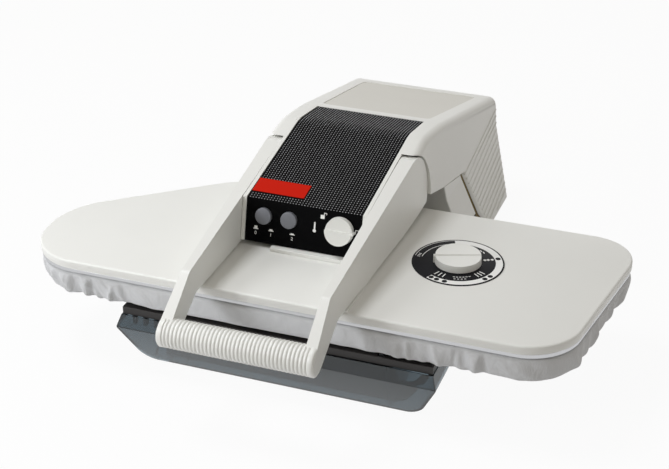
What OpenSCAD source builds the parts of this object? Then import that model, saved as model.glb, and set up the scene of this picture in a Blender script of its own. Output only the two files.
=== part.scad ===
// Steam ironing station: a clam-shell steam press, shown closed.
// Millimetres, +Z up, the front faces -Y. The origin is on the table, under the middle of the plan.
// Side shapes are drawn as [distance behind the plate's front edge, height].

/* [Heated plate] */
// Length of the heated plate, left to right
plate_length = 640; // [600:5:680]
// Depth of the heated plate, front to back
plate_depth = 253; // [245:1:270]
// Radius of the plate's left nose at the front
nose_front_r = 65; // [55:1:72]
// Radius of the plate's left nose at the back
nose_back_r = 78; // [74:1:88]
// Radius of the right front corner
corner_front_r = 60; // [45:1:70]
// Radius of the right back corner
corner_back_r = 50; // [40:1:60]
// How much further right the back corner reaches than the front one
end_slant = 22; // [5:1:35]
// Radius where the slanted back edge meets the straight one
shoulder_r = 100; // [85:1:115]
// Distance of that radius's centre from the left tip
shoulder_in = 204; // [185:1:225]
// Height of the plate's moulded cover
plate_cover_h = 10; // [9.5:0.5:14]
// Wall of the plate's moulded cover
plate_cover_wall = 2.5; // [2:0.1:3]
// Thickness of the aluminium heating plate
heat_plate_t = 4.5; // [3.5:0.5:7]
// Height of the two rails on the plate under the handle's arms
rail_h = 2; // [1:0.1:2.5]
// Width of each rail
rail_w = 25; // [18:1:28]

/* [Ironing board] */
// Thickness of the board panel
board_t = 8; // [6:0.5:12]
// Thickness of the foam pad
pad_t = 13; // [10:0.5:18]
// Thickness of the cloth cover
cloth_t = 1.6; // [1.2:0.1:2]
// How far the cloth's hem hangs below the board panel
hem_drop = 6; // [3:0.5:7]
// Depth of the cloth's gathered folds
fold_depth = 2.6; // [0:0.2:3.4]
// Air left between the cloth and the closed plate
press_gap = 0.8; // [0.4:0.1:2]

/* [Base] */
// Height of the rubber feet
foot_h = 6; // [5:0.5:9]
// Radius of each rubber foot
foot_r = 11; // [8:0.5:14]
// Height of the bottom tray
tray_h = 38; // [30:1:44]
// Height of the base from the tray's underside to the deck
body_h = 70; // [66:1:76]
// Thickness of the deck that carries the board
deck_t = 8; // [7:0.5:10]
// Half of the base's width behind the tank
base_half = 150; // [135:1:160]
// Wall of the base mouldings
base_wall = 3; // [2:0.1:4]

/* [Head] */
// Distance of the head's middle from the plate's middle
arm_x = -25; // [-40:1:0]
// Half of the width of the head's narrow front
core_half = 72; // [70.5:0.5:74]
// Half of the width of the black band and of the control panel
band_half = 67.4; // [60:0.2:68]
// Half of the width of the head's wide rear at its top
shoulder_half = 92; // [90:0.5:96]
// Half of the width where the ribbed sides begin to flare
flare_half = 104.5; // [103:0.5:107]
// Half of the width of the flared sides at the bottom
skirt_half = 130; // [126:0.5:134]
// Wall of the head's moulding
wall = 3; // [2.2:0.1:3.4]
// Radius of the long top edges
edge_r = 10; // [7:0.5:12]
// Thickness of the black band and panel and of the top cover
skin_t = 1.2; // [0.8:0.1:1.2]
// How deep the band, the panel and the top cover are sunk
sink = 1; // [0.5:0.1:1]
// Distance of the head's rear from the plate's front edge
head_back = 563; // [560:1:575]

/* [Handle] */
// Radius of the round rear ends of the handle's arms
arm_end_r = 38.6; // [36:0.2:39]
// Half of the distance over the arms at the grip
grip_half = 85; // [82:0.5:88]
// Half of the distance over the arms at their shaft
arm_half = 97; // [94:0.5:99]
// Distance of the grip's middle in front of the plate
grip_reach = 75; // [68:1:85]
// Radius of the grip
grip_r = 16; // [14:0.5:18]
// Number of rings on the grip
grip_rings = 38; // [24:1:44]
// Wall of the hollow arms
arm_wall = 3; // [2:0.1:3.2]
// Radius of the handle's shaft
shaft_r = 7; // [6:0.5:8]

/* [Water tank] */
// Half of the tank's width at its top
tank_half = 180; // [160:1:184]
// Half of the tank's width at its widest
tank_ridge_half = 183; // [170:1:187]
// Half of the tank's width at its bottom
tank_foot_half = 150; // [130:1:160]
// Wall of the tank
tank_wall = 2.5; // [2:0.1:3]
// Thickness of the tank's lid
tank_lid_t = 9; // [8.6:0.1:11]
// Gap between the tank and what lies above or behind it
tank_gap = 0.8; // [0.5:0.1:1.2]

/* [Controls] */
// Radius of the two push buttons
button_r = 9.5; // [8:0.25:10.5]
// Travel of the push buttons
button_travel = 3; // [1.5:0.5:3.5]
// Radius of the selector knob on the panel
selector_r = 15.8; // [13:0.2:17]
// Height of the selector knob
selector_h = 9; // [7:0.5:11]
// Radius of the thermostat knob on the plate
dial_knob_r = 25.5; // [22:0.5:28]
// Height of the thermostat knob
dial_knob_h = 9.2; // [8:0.2:12]
// Radius of the dial disc
dial_r = 50.5; // [46:0.5:54]

/* [Fits] */
// Radial clearance of a shaft in a hole that turns on it
run_gap = 0.06; // [0.03:0.01:0.09]
// Gap between pieces that move past each other
move_gap = 1.2; // [1:0.1:1.8]
// Gap between pieces that are fixed side by side
seat_gap = 0.2; // [0.1:0.05:0.3]

/* [Hidden] */

// Colours as the photograph shows them
cream = [0.90, 0.895, 0.87];
pale = [0.80, 0.79, 0.76];
black = [0.05, 0.05, 0.055];
charcoal = [0.2, 0.2, 0.21];
steel = [0.68, 0.69, 0.71];
brass = [0.75, 0.62, 0.35];
smoke = [0.34, 0.39, 0.43, 0.6];
cloth_grey = [0.78, 0.78, 0.78];

// Heights above the table, from the feet up
deck_z = foot_h + body_h;
board_z = deck_z + deck_t;
pad_z = board_z + board_t;
cloth_z = pad_z + pad_t + cloth_t;
heat_z = cloth_z + press_gap;
plate_z = heat_z + heat_plate_t + plate_cover_h;
tray_top = foot_h + tray_h;

// Plan: the origin is midway between the grip's front and the head's rear
plate_front = (grip_reach + grip_r - head_back) / 2;

// The plate's outline: circles [x, y, r] that a taut line runs round
plate_circles = [
    [-plate_length / 2 + nose_front_r, nose_front_r, nose_front_r],
    [plate_length / 2 - end_slant - corner_front_r, corner_front_r, corner_front_r],
    [plate_length / 2 - corner_back_r, plate_depth - corner_back_r, corner_back_r],
    [-plate_length / 2 + shoulder_in, plate_depth - shoulder_r, shoulder_r],
    [-plate_length / 2 + nose_back_r, nose_back_r, nose_back_r]];
outline_steps = 96;

// The head's side line: bend over the panel, crest, end of the band and rear, heights above the plate
panel_foot = [100, 5.5];
bend = [111, 54.5];
crest = [272, 80.5];
band_end = [333.6, 71];
rear_top = [head_back + 3, 14];
rear_foot = [535, 10 - plate_z];
pivot = [225, 33];
notch_y = pivot[0] - 2;
recess_r = arm_end_r + move_gap;
flare_z = 100 - plate_z;
gap_top = [383, 107 - plate_z];
gap_mid = [408, 36 - plate_z];
gap_foot = [431, 12 - plate_z];
arch = [[pivot[0] + 28, 15], [255, 16], [312, 0]];
tower_gap = 1.6;
lean = atan2(bend[0] - panel_foot[0], bend[1] - panel_foot[1]);

// The handle's arm
elbow_top = [-30, 34];
elbow_foot = [-17, 2.6];
grip_at = [-grip_reach, -14];
arm_low = 3;

// Hinge place: [behind the plate's front edge, above the table]; lever lengths on the handle's shaft
hinge_at = [511, 66];
hinge_r = 8;
cheek_in = 52;
cheek_t = 4;
lever_in = 42;
lever_t = 6;
lever_len = 28;
lever_end_r = 5;
lift_drop = 3;
bracket_in = 78;
bracket_t = 5;

// The beam's foot and the block under it
mount_y = [134, 203];
mount_half = 46;
beam_foot_z = 4;

// The base's plan
base_front = 116;
tower_front = 330;
tower_back = 402;
rear_half = 98;
base_back = 490;

// The tank
tank_x = arm_x + 5;
tank_back = base_front - 4;
tank_ridge = [-5, 52];
tank_top_y = 0;
tank_foot_y = 15;
tank_foot_z = 5;
tank_top = deck_z - tank_gap;
tank_rim = tank_top - tank_lid_t;
rail_x = 120;
rail_len = tank_back - 14;
valve_z = 24;

// The controls on the panel: [across, up the panel's slope from its foot]
button_at = [[-46.4, 31], [-16.5, 31]];
selector_at = [43, 29];
panel_len = norm(bend - panel_foot);

// The dial on the plate
dial_at = [142, 141];

function unit(v) = v / norm(v);
// Arc of radius r at corner b between the sides to a and to c
function corner(a, b, c, r, n = 7) =
    let (u = unit(a - b), v = unit(c - b), h = acos(u * v) / 2,
         m = b + unit(u + v) * r / sin(h),
         p = b + u * r / tan(h) - m, q = b + v * r / tan(h) - m,
         s = atan2(p[1], p[0]), t = atan2(q[1], q[0]) - s,
         w = t > 180 ? t - 360 : t < -180 ? t + 360 : t)
    [for (i = [0:n]) m + r * [cos(s + w * i / n), sin(s + w * i / n)]];
// A closed line of [y, z, r] points with its corners rounded
function rounded(pts) =
    let (k = len(pts))
    [for (i = [0:k - 1])
        let (a = pts[(i + k - 1) % k], b = pts[i], c = pts[(i + 1) % k])
        each b[2] > 0 ? corner([a[0], a[1]], [b[0], b[1]], [c[0], c[1]], b[2]) : [[b[0], b[1]]]];
// Half of the head's width at a height above the plate, above the flare
function head_half(z) = shoulder_half + (flare_half - shoulder_half) * (bend[1] + 20 - z) / (bend[1] + 20 - flare_z);
// The plate's outline at angle a, moved in by d
function reach(c, a) = c[0] * cos(a) + c[1] * sin(a) + c[2];
function farthest(a) = let (s = [for (c = plate_circles) reach(c, a)]) search(max(s), s)[0];
function outline_point(a, d) = let (c = plate_circles[farthest(a)])
    [c[0], c[1]] + (c[2] - d) * [cos(a), sin(a)];
function outline(d) = [for (i = [0:outline_steps - 1]) outline_point(360 * i / outline_steps, d)];

// Frames: x as given, y from the plate's front edge, z from the table or from the plate's top
module on_table() translate([0, plate_front, 0]) children();
module on_plate() translate([0, plate_front, plate_z]) children();
module on_arm() translate([arm_x, plate_front, plate_z]) children();
module on_base() translate([arm_x, plate_front, 0]) children();
module on_tank() translate([tank_x, plate_front, 0]) children();
// Both sides of the head's middle plane
module both() for (s = [0, 1]) mirror([s, 0, 0]) children();
// A side shape [y, z] made w thick across, from x
module across(x, w) translate([x, 0, 0]) rotate([90, 0, 90]) linear_extrude(w) children();
// A front shape [x, z] made from y to y + d
module along(y, d) translate([0, y + d, 0]) rotate([90, 0, 0]) linear_extrude(d) children();
module axle(at, x, w, r) translate([x, at[0], at[1]]) rotate([0, 90, 0]) cylinder(h = w, r = r, $fn = 48);
// Things that stand on the sloping panel: x across, y up the slope, z out of it
module on_panel() on_arm() translate([0, panel_foot[0], panel_foot[1]]) rotate([90 - lean, 0, 0]) children();

// The plate and the board

module plate_slab(z, t, d) translate([0, 0, z]) linear_extrude(t) polygon(outline(d));

module mount_hole(z, t, gap)
    translate([arm_x - mount_half - gap, mount_y[0] - gap, z])
        cube([2 * (mount_half + gap), mount_y[1] - mount_y[0] + 2 * gap, t]);

module plate_cover() color(cream) on_plate() difference() {
    plate_slab(-plate_cover_h, plate_cover_h, 0);
    plate_slab(-plate_cover_h - 1, plate_cover_h + 1 - plate_cover_wall, plate_cover_wall);
    mount_hole(-plate_cover_wall - 1, plate_cover_wall + 2, 1);
    translate([dial_at[0], dial_at[1], -plate_cover_wall - 1]) cylinder(h = plate_cover_wall + 2, r = 4, $fn = 32);
    tube_hole(1);
}
// Room for the steam tube through the plate's cover
module tube_hole(gap) translate([arm_x + tube_x, tube_y, -plate_cover_h]) cylinder(h = plate_cover_h + 1, r = tube_r + gap, $fn = 32);

module plate_rails() color(cream) on_plate() difference() {
    intersection() {
        union() for (x = [arm_x - 67.5 - rail_w, arm_x + 89 - rail_w])
            translate([x, 0, 0]) cube([rail_w, notch_y + 20, rail_h]);
        plate_slab(0, rail_h, 1.5);
    }
    translate([0, 0, plate_cover_h]) tube_hole(1);
}

module heat_plate() color(steel) on_plate() difference() {
    plate_slab(-plate_cover_h - heat_plate_t, heat_plate_t, 1);
    for (i = [-6:7], j = [0:3])
        translate([i * 36 + 18 * (j % 2), plate_depth * (0.2 + 0.19 * j), -plate_cover_h - heat_plate_t - 1])
            cylinder(h = heat_plate_t + 2, r = 2, $fn = 16);
}

module heating_element() color(charcoal) on_plate() difference() {
    plate_slab(-plate_cover_h, 5, 30);
    plate_slab(-plate_cover_h - 1, 7, 37);
}

module insulation_sheet() color(pale) on_plate() difference() {
    plate_slab(-plate_cover_wall - 2, 2, 6);
    mount_hole(-plate_cover_wall - 3, 4, 2);
    translate([dial_at[0], dial_at[1], -plate_cover_wall - 3]) cylinder(h = 4, r = 5, $fn = 32);
    tube_hole(1);
}

module plate_mount() color(steel) on_plate()
    mount_hole(-plate_cover_h, plate_cover_h + beam_foot_z, 0);

module thermostat() color(charcoal) on_plate() translate([dial_at[0], dial_at[1], -plate_cover_h]) difference() {
    translate([-16, -13, 0]) cube([32, 26, plate_cover_h - plate_cover_wall - 2.6]);
    translate([0, 0, 2]) cylinder(h = plate_cover_h, r = 3 + run_gap, $fn = 32);
}

module thermal_fuse() color(pale) on_plate()
    translate([-110, 70, -plate_cover_h]) cube([26, 9, plate_cover_h - plate_cover_wall - 2.8]);

// Where the steam tube stands and how high it runs
tube_x = 64.5;
tube_y = 118;
tube_r = 2;
tube_z = 12;
valve_y = pivot[0] + shaft_r + 4;
chamber_h = plate_cover_h - plate_cover_wall - 2.6;
module steam_chamber() color(steel) on_plate() difference() {
    translate([arm_x + tube_x - 40, 70, -plate_cover_h]) cube([64, 52, chamber_h]);
    translate([arm_x + tube_x - 34, 76, -plate_cover_h + 1.5]) cube([52, 40, 1.5]);
}

// A pipe along points: straight pieces joined by slightly larger balls
module pipe(pts, r) {
    for (i = [0:len(pts) - 2]) {
        d = pts[i + 1] - pts[i];
        translate(pts[i]) rotate([0, acos(d[2] / norm(d)), atan2(d[1], d[0])])
            cylinder(h = norm(d), r = r, $fn = 24);
    }
    if (len(pts) > 2) for (i = [1:len(pts) - 2]) translate(pts[i]) sphere(r = r + 0.4, $fn = 24);
}

module steam_tube() color(pale) on_arm() pipe([
    [tube_x, tube_y, chamber_h - plate_cover_h], [tube_x, tube_y, tube_z], [tube_x, valve_y, tube_z]], tube_r);

// The valve stands on the beam's right cheek
module steam_valve() color(charcoal) on_arm()
    translate([cheek_in + cheek_t, valve_y, beam_foot_z]) cube([12, 34, 18]);

module dial_disc() color(black) on_plate() translate([dial_at[0], dial_at[1], 0]) difference() {
    cylinder(h = 0.6, r = dial_r, $fn = 96);
    translate([0, 0, -1]) cylinder(h = 3, r = 4, $fn = 32);
}

// Half of the knob's top is a step lower, and a nib points to the setting
module dial_knob() color(cream) on_plate() translate([dial_at[0], dial_at[1], 1]) difference() {
    union() {
        cylinder(h = dial_knob_h, r = dial_knob_r, $fn = 72);
        translate([-dial_knob_r - 1.5, -3, 0]) cube([8, 3, dial_knob_h]);
    }
    translate([-dial_knob_r - 5, -dial_knob_r - 5, dial_knob_h - 1.2]) cube([2 * dial_knob_r + 10, dial_knob_r + 5, 2]);
    translate([0, 0, -1]) cylinder(h = 6, r = 3, $fn = 32);
}

module dial_spindle() color(steel) on_plate()
    translate([dial_at[0], dial_at[1], 3 - plate_cover_h]) cylinder(h = plate_cover_h + 3, r = 3, $fn = 32);

module board_panel() color(steel) on_table() plate_slab(board_z, board_t, cloth_t + 2);

// The foam is drawn in round its sides and crowned a little towards its middle
pad_rings = [[0, 4.5], [0.25, 3.2], [0.5, 2.6], [0.8, 3], [0.94, 5], [1, 9]];
module board_pad() color(cloth_grey) on_table() {
    n = outline_steps;
    rows = len(pad_rings);
    ring_pts = [for (r = pad_rings, i = [0:n - 1])
        let (p = outline_point(360 * i / n, r[1] + cloth_t)) [p[0], p[1], pad_z + pad_t * r[0] - 0.4 * r[0]]];
    mid = [0, plate_depth / 2];
    pts = concat(ring_pts, [[mid[0], mid[1], pad_z], [mid[0], mid[1], pad_z + pad_t - 0.3]]);
    strips = [for (k = [0:rows - 2], i = [0:n - 1])
        let (j = (i + 1) % n, a = k * n + i, b = k * n + j, c = a + n, d = b + n) each [[a, c, b], [b, c, d]]];
    ends = [for (i = [0:n - 1]) let (j = (i + 1) % n, t = (rows - 1) * n)
        each [[rows * n, i, j], [rows * n + 1, t + j, t + i]]];
    polyhedron(pts, concat(strips, ends));
}

// The cloth's folds gather at the nose, along the front on both sides of the handle, and at the right end.
// Each fold is a wave down the skirt; strength fades where the skirt lies smooth.
cloth_n = 112;
cloth_rings = [[0, 16, 0], [0.3, 4, 0], [2.5, 0.6, 0.05], [9, 0, 0.45], [17, 0.2, 0.8], [28, 1.2, 1]];
function gather(p) = let (across_mid = abs(p[0] - arm_x))
    p[1] > 0.75 * plate_depth ? 0.35 : across_mid < 90 ? 0.12 : across_mid < 150 ? 0.12 + 0.88 * (across_mid - 90) / 60 : 1;
function fold(a, p) = fold_depth * gather(p) * (0.5 + 0.3 * sin(37 * a) + 0.2 * sin(23 * a + 50) + 0.25 * sin(59 * a + 120)) / 1.25;
module board_cover() color(cloth_grey) on_table() {
    n = cloth_n;
    skirt = cloth_z - board_z + hem_drop;
    scale_down = skirt / cloth_rings[len(cloth_rings) - 1][0];
    outer = [for (r = cloth_rings, i = [0:n - 1])
        let (a = 360 * i / n, q = outline_point(a, 0), p = outline_point(a, r[1] - r[2] * fold(a, q)))
        [p[0], p[1], cloth_z - r[0] * scale_down]];
    inner = [for (k = [0:len(cloth_rings) - 1], i = [0:n - 1])
        let (r = cloth_rings[len(cloth_rings) - 1 - k], a = 360 * i / n, q = outline_point(a, 0),
             p = outline_point(a, r[1] + cloth_t - 0.1 - r[2] * fold(a, q)))
        [p[0], p[1], r[0] > 5 ? cloth_z - r[0] * scale_down : min(cloth_z - cloth_t, cloth_z - r[0] * scale_down - cloth_t + 0.3)]];
    keep_in = [0, 2, 3, 4, 5];
    inner_rows = [for (k = keep_in, i = [0:n - 1]) inner[k * n + i]];
    rows = len(cloth_rings) + len(keep_in);
    mid = [0, plate_depth / 2];
    pts = concat(outer, inner_rows, [[mid[0], mid[1], cloth_z], [mid[0], mid[1], cloth_z - cloth_t]]);
    strips = [for (k = [0:rows - 2], i = [0:n - 1])
        let (j = (i + 1) % n, a = k * n + i, b = k * n + j, c = a + n, d = b + n) each [[a, b, c], [b, d, c]]];
    ends = [for (i = [0:n - 1]) let (j = (i + 1) % n, t = (rows - 1) * n)
        each [[rows * n, j, i], [rows * n + 1, t + i, t + j]]];
    polyhedron(pts, concat(strips, ends));
}

// The base

module foot_places() for (p = [[-base_half + 22, base_front + 22], [base_half - 22, base_front + 22],
                               [-rear_half + 20, base_back - 22], [rear_half - 20, base_back - 22]])
    translate([p[0], p[1], 0]) children();

module rubber_feet() color(charcoal) on_base() foot_places() {
    cylinder(h = foot_h, r1 = foot_r, r2 = foot_r - 1, $fn = 40);
    cylinder(h = foot_h + base_wall, r = 3, $fn = 24);
}

// Plan of the base, moved in by d
module base_plan(d) polygon([
    for (s = [[-1, 0], [1, 1]]) each let (side = [
        [base_half - d, base_front + d], [base_half - d, tower_front - 44 - d / 3],
        [tray_tower_half - d, tower_front - 20 - d / 3], [tray_tower_half - d, tower_back - d],
        [rear_half - d, tower_back - d], [rear_half - d, base_back - d]])
        s[1] == 1 ? [for (p = side) p] : [for (i = [len(side) - 1:-1:0]) [-side[i][0], side[i][1]]]]);
tray_tower_half = flare_half + (100 - 44) * (skirt_half - flare_half) / (100 - 10) - 1;

module base_tray() color(charcoal) on_base() difference() {
    translate([0, 0, foot_h]) linear_extrude(tray_h) base_plan(0);
    translate([0, 0, foot_h + base_wall]) linear_extrude(tray_h) base_plan(base_wall);
    foot_places() cylinder(h = foot_h + base_wall + 1, r = 3, $fn = 24);
    translate([tank_x - arm_x, base_front - 1, valve_z]) rotate([-90, 0, 0]) cylinder(h = base_wall + 2, r = 9, $fn = 40);
    translate([-base_half - 1, base_front + 90, 26]) rotate([0, 90, 0]) cylinder(h = base_wall + 2, r = 7, $fn = 40);
    bracket_slots();
}
// Slots in the base's rear wall for the hinge brackets
module bracket_slots() both() translate([bracket_in - 0.5, base_back - base_wall - 1, foot_h + base_wall])
    cube([bracket_t + 1, base_wall + 2, 100]);

// Side of the tower under the head's arch, moved in by d
function tower_line(d) = [[tower_front + d, tray_top - d], [tower_front - 7 + d, tray_top + 41],
    [tower_front - 16 + d, plate_z + arch[2][1] - tower_gap - 1.1 * d]];
module tower_side(d) polygon(concat(tower_line(d), [
    [gap_top[0] - tower_gap - d, plate_z + gap_top[1] - tower_gap - d],
    [tower_back - d / 2, tray_top - d]]));
// Front of the tower, following the head's flare, moved in by d
module tower_face(d) polygon([for (s = [-1, 1]) each
    let (p = [[tray_tower_half - d, tray_top - d], [flare_half - 1 - d, 100], [head_half(0) - 1 - d, plate_z + 1]])
    s == 1 ? [for (i = [0:2]) p[i]] : [for (i = [2:-1:0]) [-p[i][0], p[i][1]]]]);

module base_cover() color(cream) on_base() difference() {
    union() {
        difference() {
            translate([0, 0, tray_top]) linear_extrude(deck_z - tray_top) intersection() {
                base_plan(0);
                translate([-base_half, 0]) square([2 * base_half, tower_front + 2]);
            }
            translate([0, 0, tray_top - 1]) linear_extrude(deck_z - tray_top + 1 - base_wall) intersection() {
                base_plan(base_wall);
                translate([-base_half, 0]) square([2 * base_half, tower_front + base_wall]);
            }
        }
        difference() {
            intersection() {
                across(-base_half, 2 * base_half) tower_side(0);
                along(tower_front - 30, 140) tower_face(0);
            }
            intersection() {
                across(-base_half, 2 * base_half) union() {
                    tower_side(base_wall);
                    translate([tower_back - 40, tray_top - 5]) square([60, 34]);
                }
                along(tower_front - 30, 140) tower_face(base_wall);
            }
        }
        translate([0, 0, tray_top]) linear_extrude(14) difference() {
            intersection() {
                base_plan(0);
                translate([-rear_half, tower_back - 0.01]) square([2 * rear_half, base_back - tower_back + 1]);
            }
            base_plan(base_wall);
        }
    }
    // Opening over the beam
    across(-cheek_in - cheek_t - 12, 2 * (cheek_in + cheek_t + 12))
        polygon(concat(tower_line(base_wall), [[tower_front, 300], [base_back - 20, 300], [base_back - 20, tray_top]]));
    translate([-bracket_in - bracket_t - 0.5, base_back - base_wall - 1, tray_top - 1])
        cube([2 * (bracket_in + bracket_t + 0.5), base_wall + 2, 100]);
}

module base_deck() color(charcoal) on_table() difference() {
    plate_slab(deck_z, deck_t, 22);
    for (s = [-1, 1]) translate([arm_x + s * 95, plate_depth / 2, deck_z - 1]) cylinder(h = deck_t + 2, r = 12, $fn = 40);
}

// T-shaped rails under the deck carry the tank by its lid
module tank_rails() color(steel) on_tank() for (s = [-1, 1]) translate([s * rail_x, 7, 0]) {
    translate([-3, 0, deck_z - 7.2]) cube([6, rail_len, 7.2]);
    translate([-6, 0, deck_z - 7.2]) cube([12, rail_len, 2.6]);
}

module hinge_brackets() color(steel) on_base() both() difference() {
    across(bracket_in, bracket_t) polygon(rounded([
        [430, foot_h + base_wall, 0], [486, foot_h + base_wall, 4], [hinge_at[0] + 18, hinge_at[1] - 12, 8],
        [hinge_at[0] + 18, hinge_at[1] + 18, 14], [hinge_at[0] - 16, hinge_at[1] + 18, 10],
        [430, 34, 6]]));
    axle(hinge_at, bracket_in - 1, bracket_t + 2, hinge_r + 3);
}

module hinge_shaft() color(steel) on_base() axle(hinge_at, -bracket_in - 10, 2 * (bracket_in + 10), hinge_r);

module hinge_bushes() color(brass) on_base() both() difference() {
    union() {
        axle(hinge_at, bracket_in, bracket_t + 2, hinge_r + 3);
        axle(hinge_at, bracket_in - 1.5, 1.5, hinge_r + 6);
    }
    axle(hinge_at, bracket_in - 3, bracket_t + 6, hinge_r);
}

module lift_springs() color(steel) on_base() both() difference() {
    axle(hinge_at, cheek_in + cheek_t + 6, bracket_in - cheek_in - cheek_t - 8, hinge_r + 4);
    axle(hinge_at, cheek_in, 40, hinge_r + 0.2);
}

module tank_coupling() color(charcoal) on_tank() translate([0, base_front - 2, valve_z]) rotate([-90, 0, 0]) difference() {
    union() {
        cylinder(h = 22, r = 9, $fn = 40);
        translate([0, 0, base_wall + 2]) cylinder(h = 3, r = 13, $fn = 40);
    }
    translate([0, 0, -1]) cylinder(h = 14, r = 6, $fn = 40);
}

module water_pump() color(charcoal) on_tank() {
    translate([-24, base_front + 34, foot_h + base_wall]) cube([48, 58, 9]);
    translate([0, base_front + 36, valve_z + 8]) rotate([-90, 0, 0]) cylinder(h = 54, r = 18, $fn = 48);
}

module pump_hose() color(pale) on_tank() difference() {
    pipe([[0, base_front + 20, valve_z], [0, base_front + 37, valve_z]], 4);
    translate([0, base_front + 36, valve_z + 8]) rotate([-90, 0, 0]) cylinder(h = 54, r = 18, $fn = 48);
}

module mains_gland() color(charcoal) on_base() translate([-base_half, base_front + 90, 26]) rotate([0, 90, 0]) difference() {
    union() {
        translate([0, 0, -7]) cylinder(h = 7, r = 11, $fn = 6);
        cylinder(h = base_wall, r = 7, $fn = 40);
        translate([0, 0, base_wall]) cylinder(h = 5, r = 11, $fn = 6);
    }
    translate([0, 0, -8]) cylinder(h = 20, r = 4, $fn = 32);
}

// Screws through the deck into the board, and through the brackets' foot
module base_screws() color(steel) on_table() for (x = [arm_x - 120, arm_x, arm_x + 120])
    translate([x, plate_depth - 70, deck_z - base_wall - 2]) {
        cylinder(h = 2, r = 4.5, $fn = 32);
    }

// The tank

module tank_side(d) polygon([
    [tank_foot_y + d, tank_foot_z + d], [tank_ridge[0] + d, tank_ridge[1]], [tank_top_y + d, tank_rim + (d > 0 ? 5 : 0)],
    [tank_back - d, tank_rim + (d > 0 ? 5 : 0)], [tank_back - d, tank_foot_z + d]]);
module tank_face(d) polygon([for (s = [-1, 1]) each
    let (p = [[tank_foot_half - 8 - d, tank_foot_z + d], [tank_foot_half - d, tank_foot_z + 6 + d / 2],
              [tank_ridge_half - d, tank_ridge[1]], [tank_half - d, tank_rim + (d > 0 ? 5 : 0)]])
    s == 1 ? p : [for (i = [len(p) - 1:-1:0]) [-p[i][0], p[i][1]]]]);

module tank_shell() color(smoke) on_tank() difference() {
    intersection() {
        across(-tank_ridge_half - 1, 2 * tank_ridge_half + 2) tank_side(0);
        along(tank_ridge[0] - 1, tank_back + 8) tank_face(0);
    }
    intersection() {
        across(-tank_ridge_half - 1, 2 * tank_ridge_half + 2) tank_side(tank_wall);
        along(tank_ridge[0] - 1, tank_back + 8) tank_face(tank_wall);
    }
    translate([0, tank_back - tank_wall - 1, valve_z]) rotate([-90, 0, 0]) cylinder(h = tank_wall + 2, r = 5, $fn = 40);
}

module tank_lid() color(charcoal) on_tank() difference() {
    translate([-tank_half + 3, tank_top_y + 2, tank_rim]) cube([2 * tank_half - 6, tank_back - tank_top_y - 2, tank_lid_t]);
    // Slots that hang the lid on the rails
    for (s = [-1, 1]) translate([s * rail_x, 5, 0]) {
        translate([-4.2, 0, deck_z - 5]) cube([8.4, tank_back, 6]);
        translate([-7.2, 0, deck_z - 8.4]) cube([14.4, tank_back, 4.1]);
    }
    translate([0, 40, tank_rim - 1]) cylinder(h = tank_lid_t + 2, r = 18, $fn = 48);
}

module filler_cap() color(smoke) on_tank() translate([0, 40, tank_rim]) difference() {
    union() {
        cylinder(h = tank_lid_t - 1, r = 17.8, $fn = 48);
        cylinder(h = 1.5, r = 17.8, $fn = 48);
    }
    for (s = [-1, 1]) translate([-9, s * 7 - 2.5, 2]) cube([18, 5, tank_lid_t]);
}

module tank_valve() color(charcoal) on_tank() translate([0, 0, valve_z]) rotate([-90, 0, 0]) {
    translate([0, 0, tank_back - tank_wall - 6]) cylinder(h = 6, r = 8, $fn = 40);
    translate([0, 0, tank_back - tank_wall]) cylinder(h = 11, r = 5, $fn = 40);
}

module tank_filter() color(pale) on_tank() translate([0, tank_back - tank_wall - 36, valve_z]) rotate([-90, 0, 0]) difference() {
    cylinder(h = 30, r = 10, $fn = 40);
    translate([0, 0, 3]) cylinder(h = 28, r = 8, $fn = 40);
}

// The head

top_line = [bend, crest, band_end, rear_top];
// The band's path over the crest, with the crest rounded
band_path = concat([bend + 3.2 * unit(crest - bend)], corner(bend, crest, band_end, 70, 10), [band_end]);
function moved_down(path, d) = [for (p = path) p - [0, d]];
// Point where the line through p along u meets the line through q along w
function meet(p, u, q, w) =
    p + u * ((q[0] - p[0]) * w[1] - (q[1] - p[1]) * w[0]) / (u[0] * w[1] - u[1] * w[0]);
// Side of the one seat, d deep, that holds the panel and the band above it
module skin_seat(d) {
    up = [sin(lean), cos(lean)];
    out = [-cos(lean), sin(lean)];
    polygon(concat(
        [panel_foot - up - out * d, meet(panel_foot - out * d, up, bend - [0, d], unit(crest - bend))],
        moved_down(corner(bend, crest, band_end, 70, 10), d),
        [band_end - [0, d], band_end + [0, 8], crest + [0, 12], bend + [-4, 12],
         panel_foot - up + out * 8]));
}
module strip(path, t) polygon(concat(path, [for (i = [len(path) - 1:-1:0]) path[i] - [0, t]]));

// Side of the narrow front, moved in by d and open below when d > 0
module core_side(d) polygon(concat(
    [[panel_foot[0] + d / cos(lean) - (d > 0 ? 9 : 0) * tan(lean), panel_foot[1] - (d > 0 ? 9 : 0)],
     [bend[0] + d / cos(lean) - d * tan(lean), bend[1] - d]],
    moved_down(corner(bend, crest, band_end, 70, 10), d),
    [[pivot[0] + recess_r + wall + (d > 0 ? 20 : 0), 76 - d],
     [pivot[0] + recess_r + wall + (d > 0 ? 20 : 0), (d > 0 ? -5 : 12)],
     [plate_depth - 3, (d > 0 ? -5 : panel_foot[1])]]));

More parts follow.
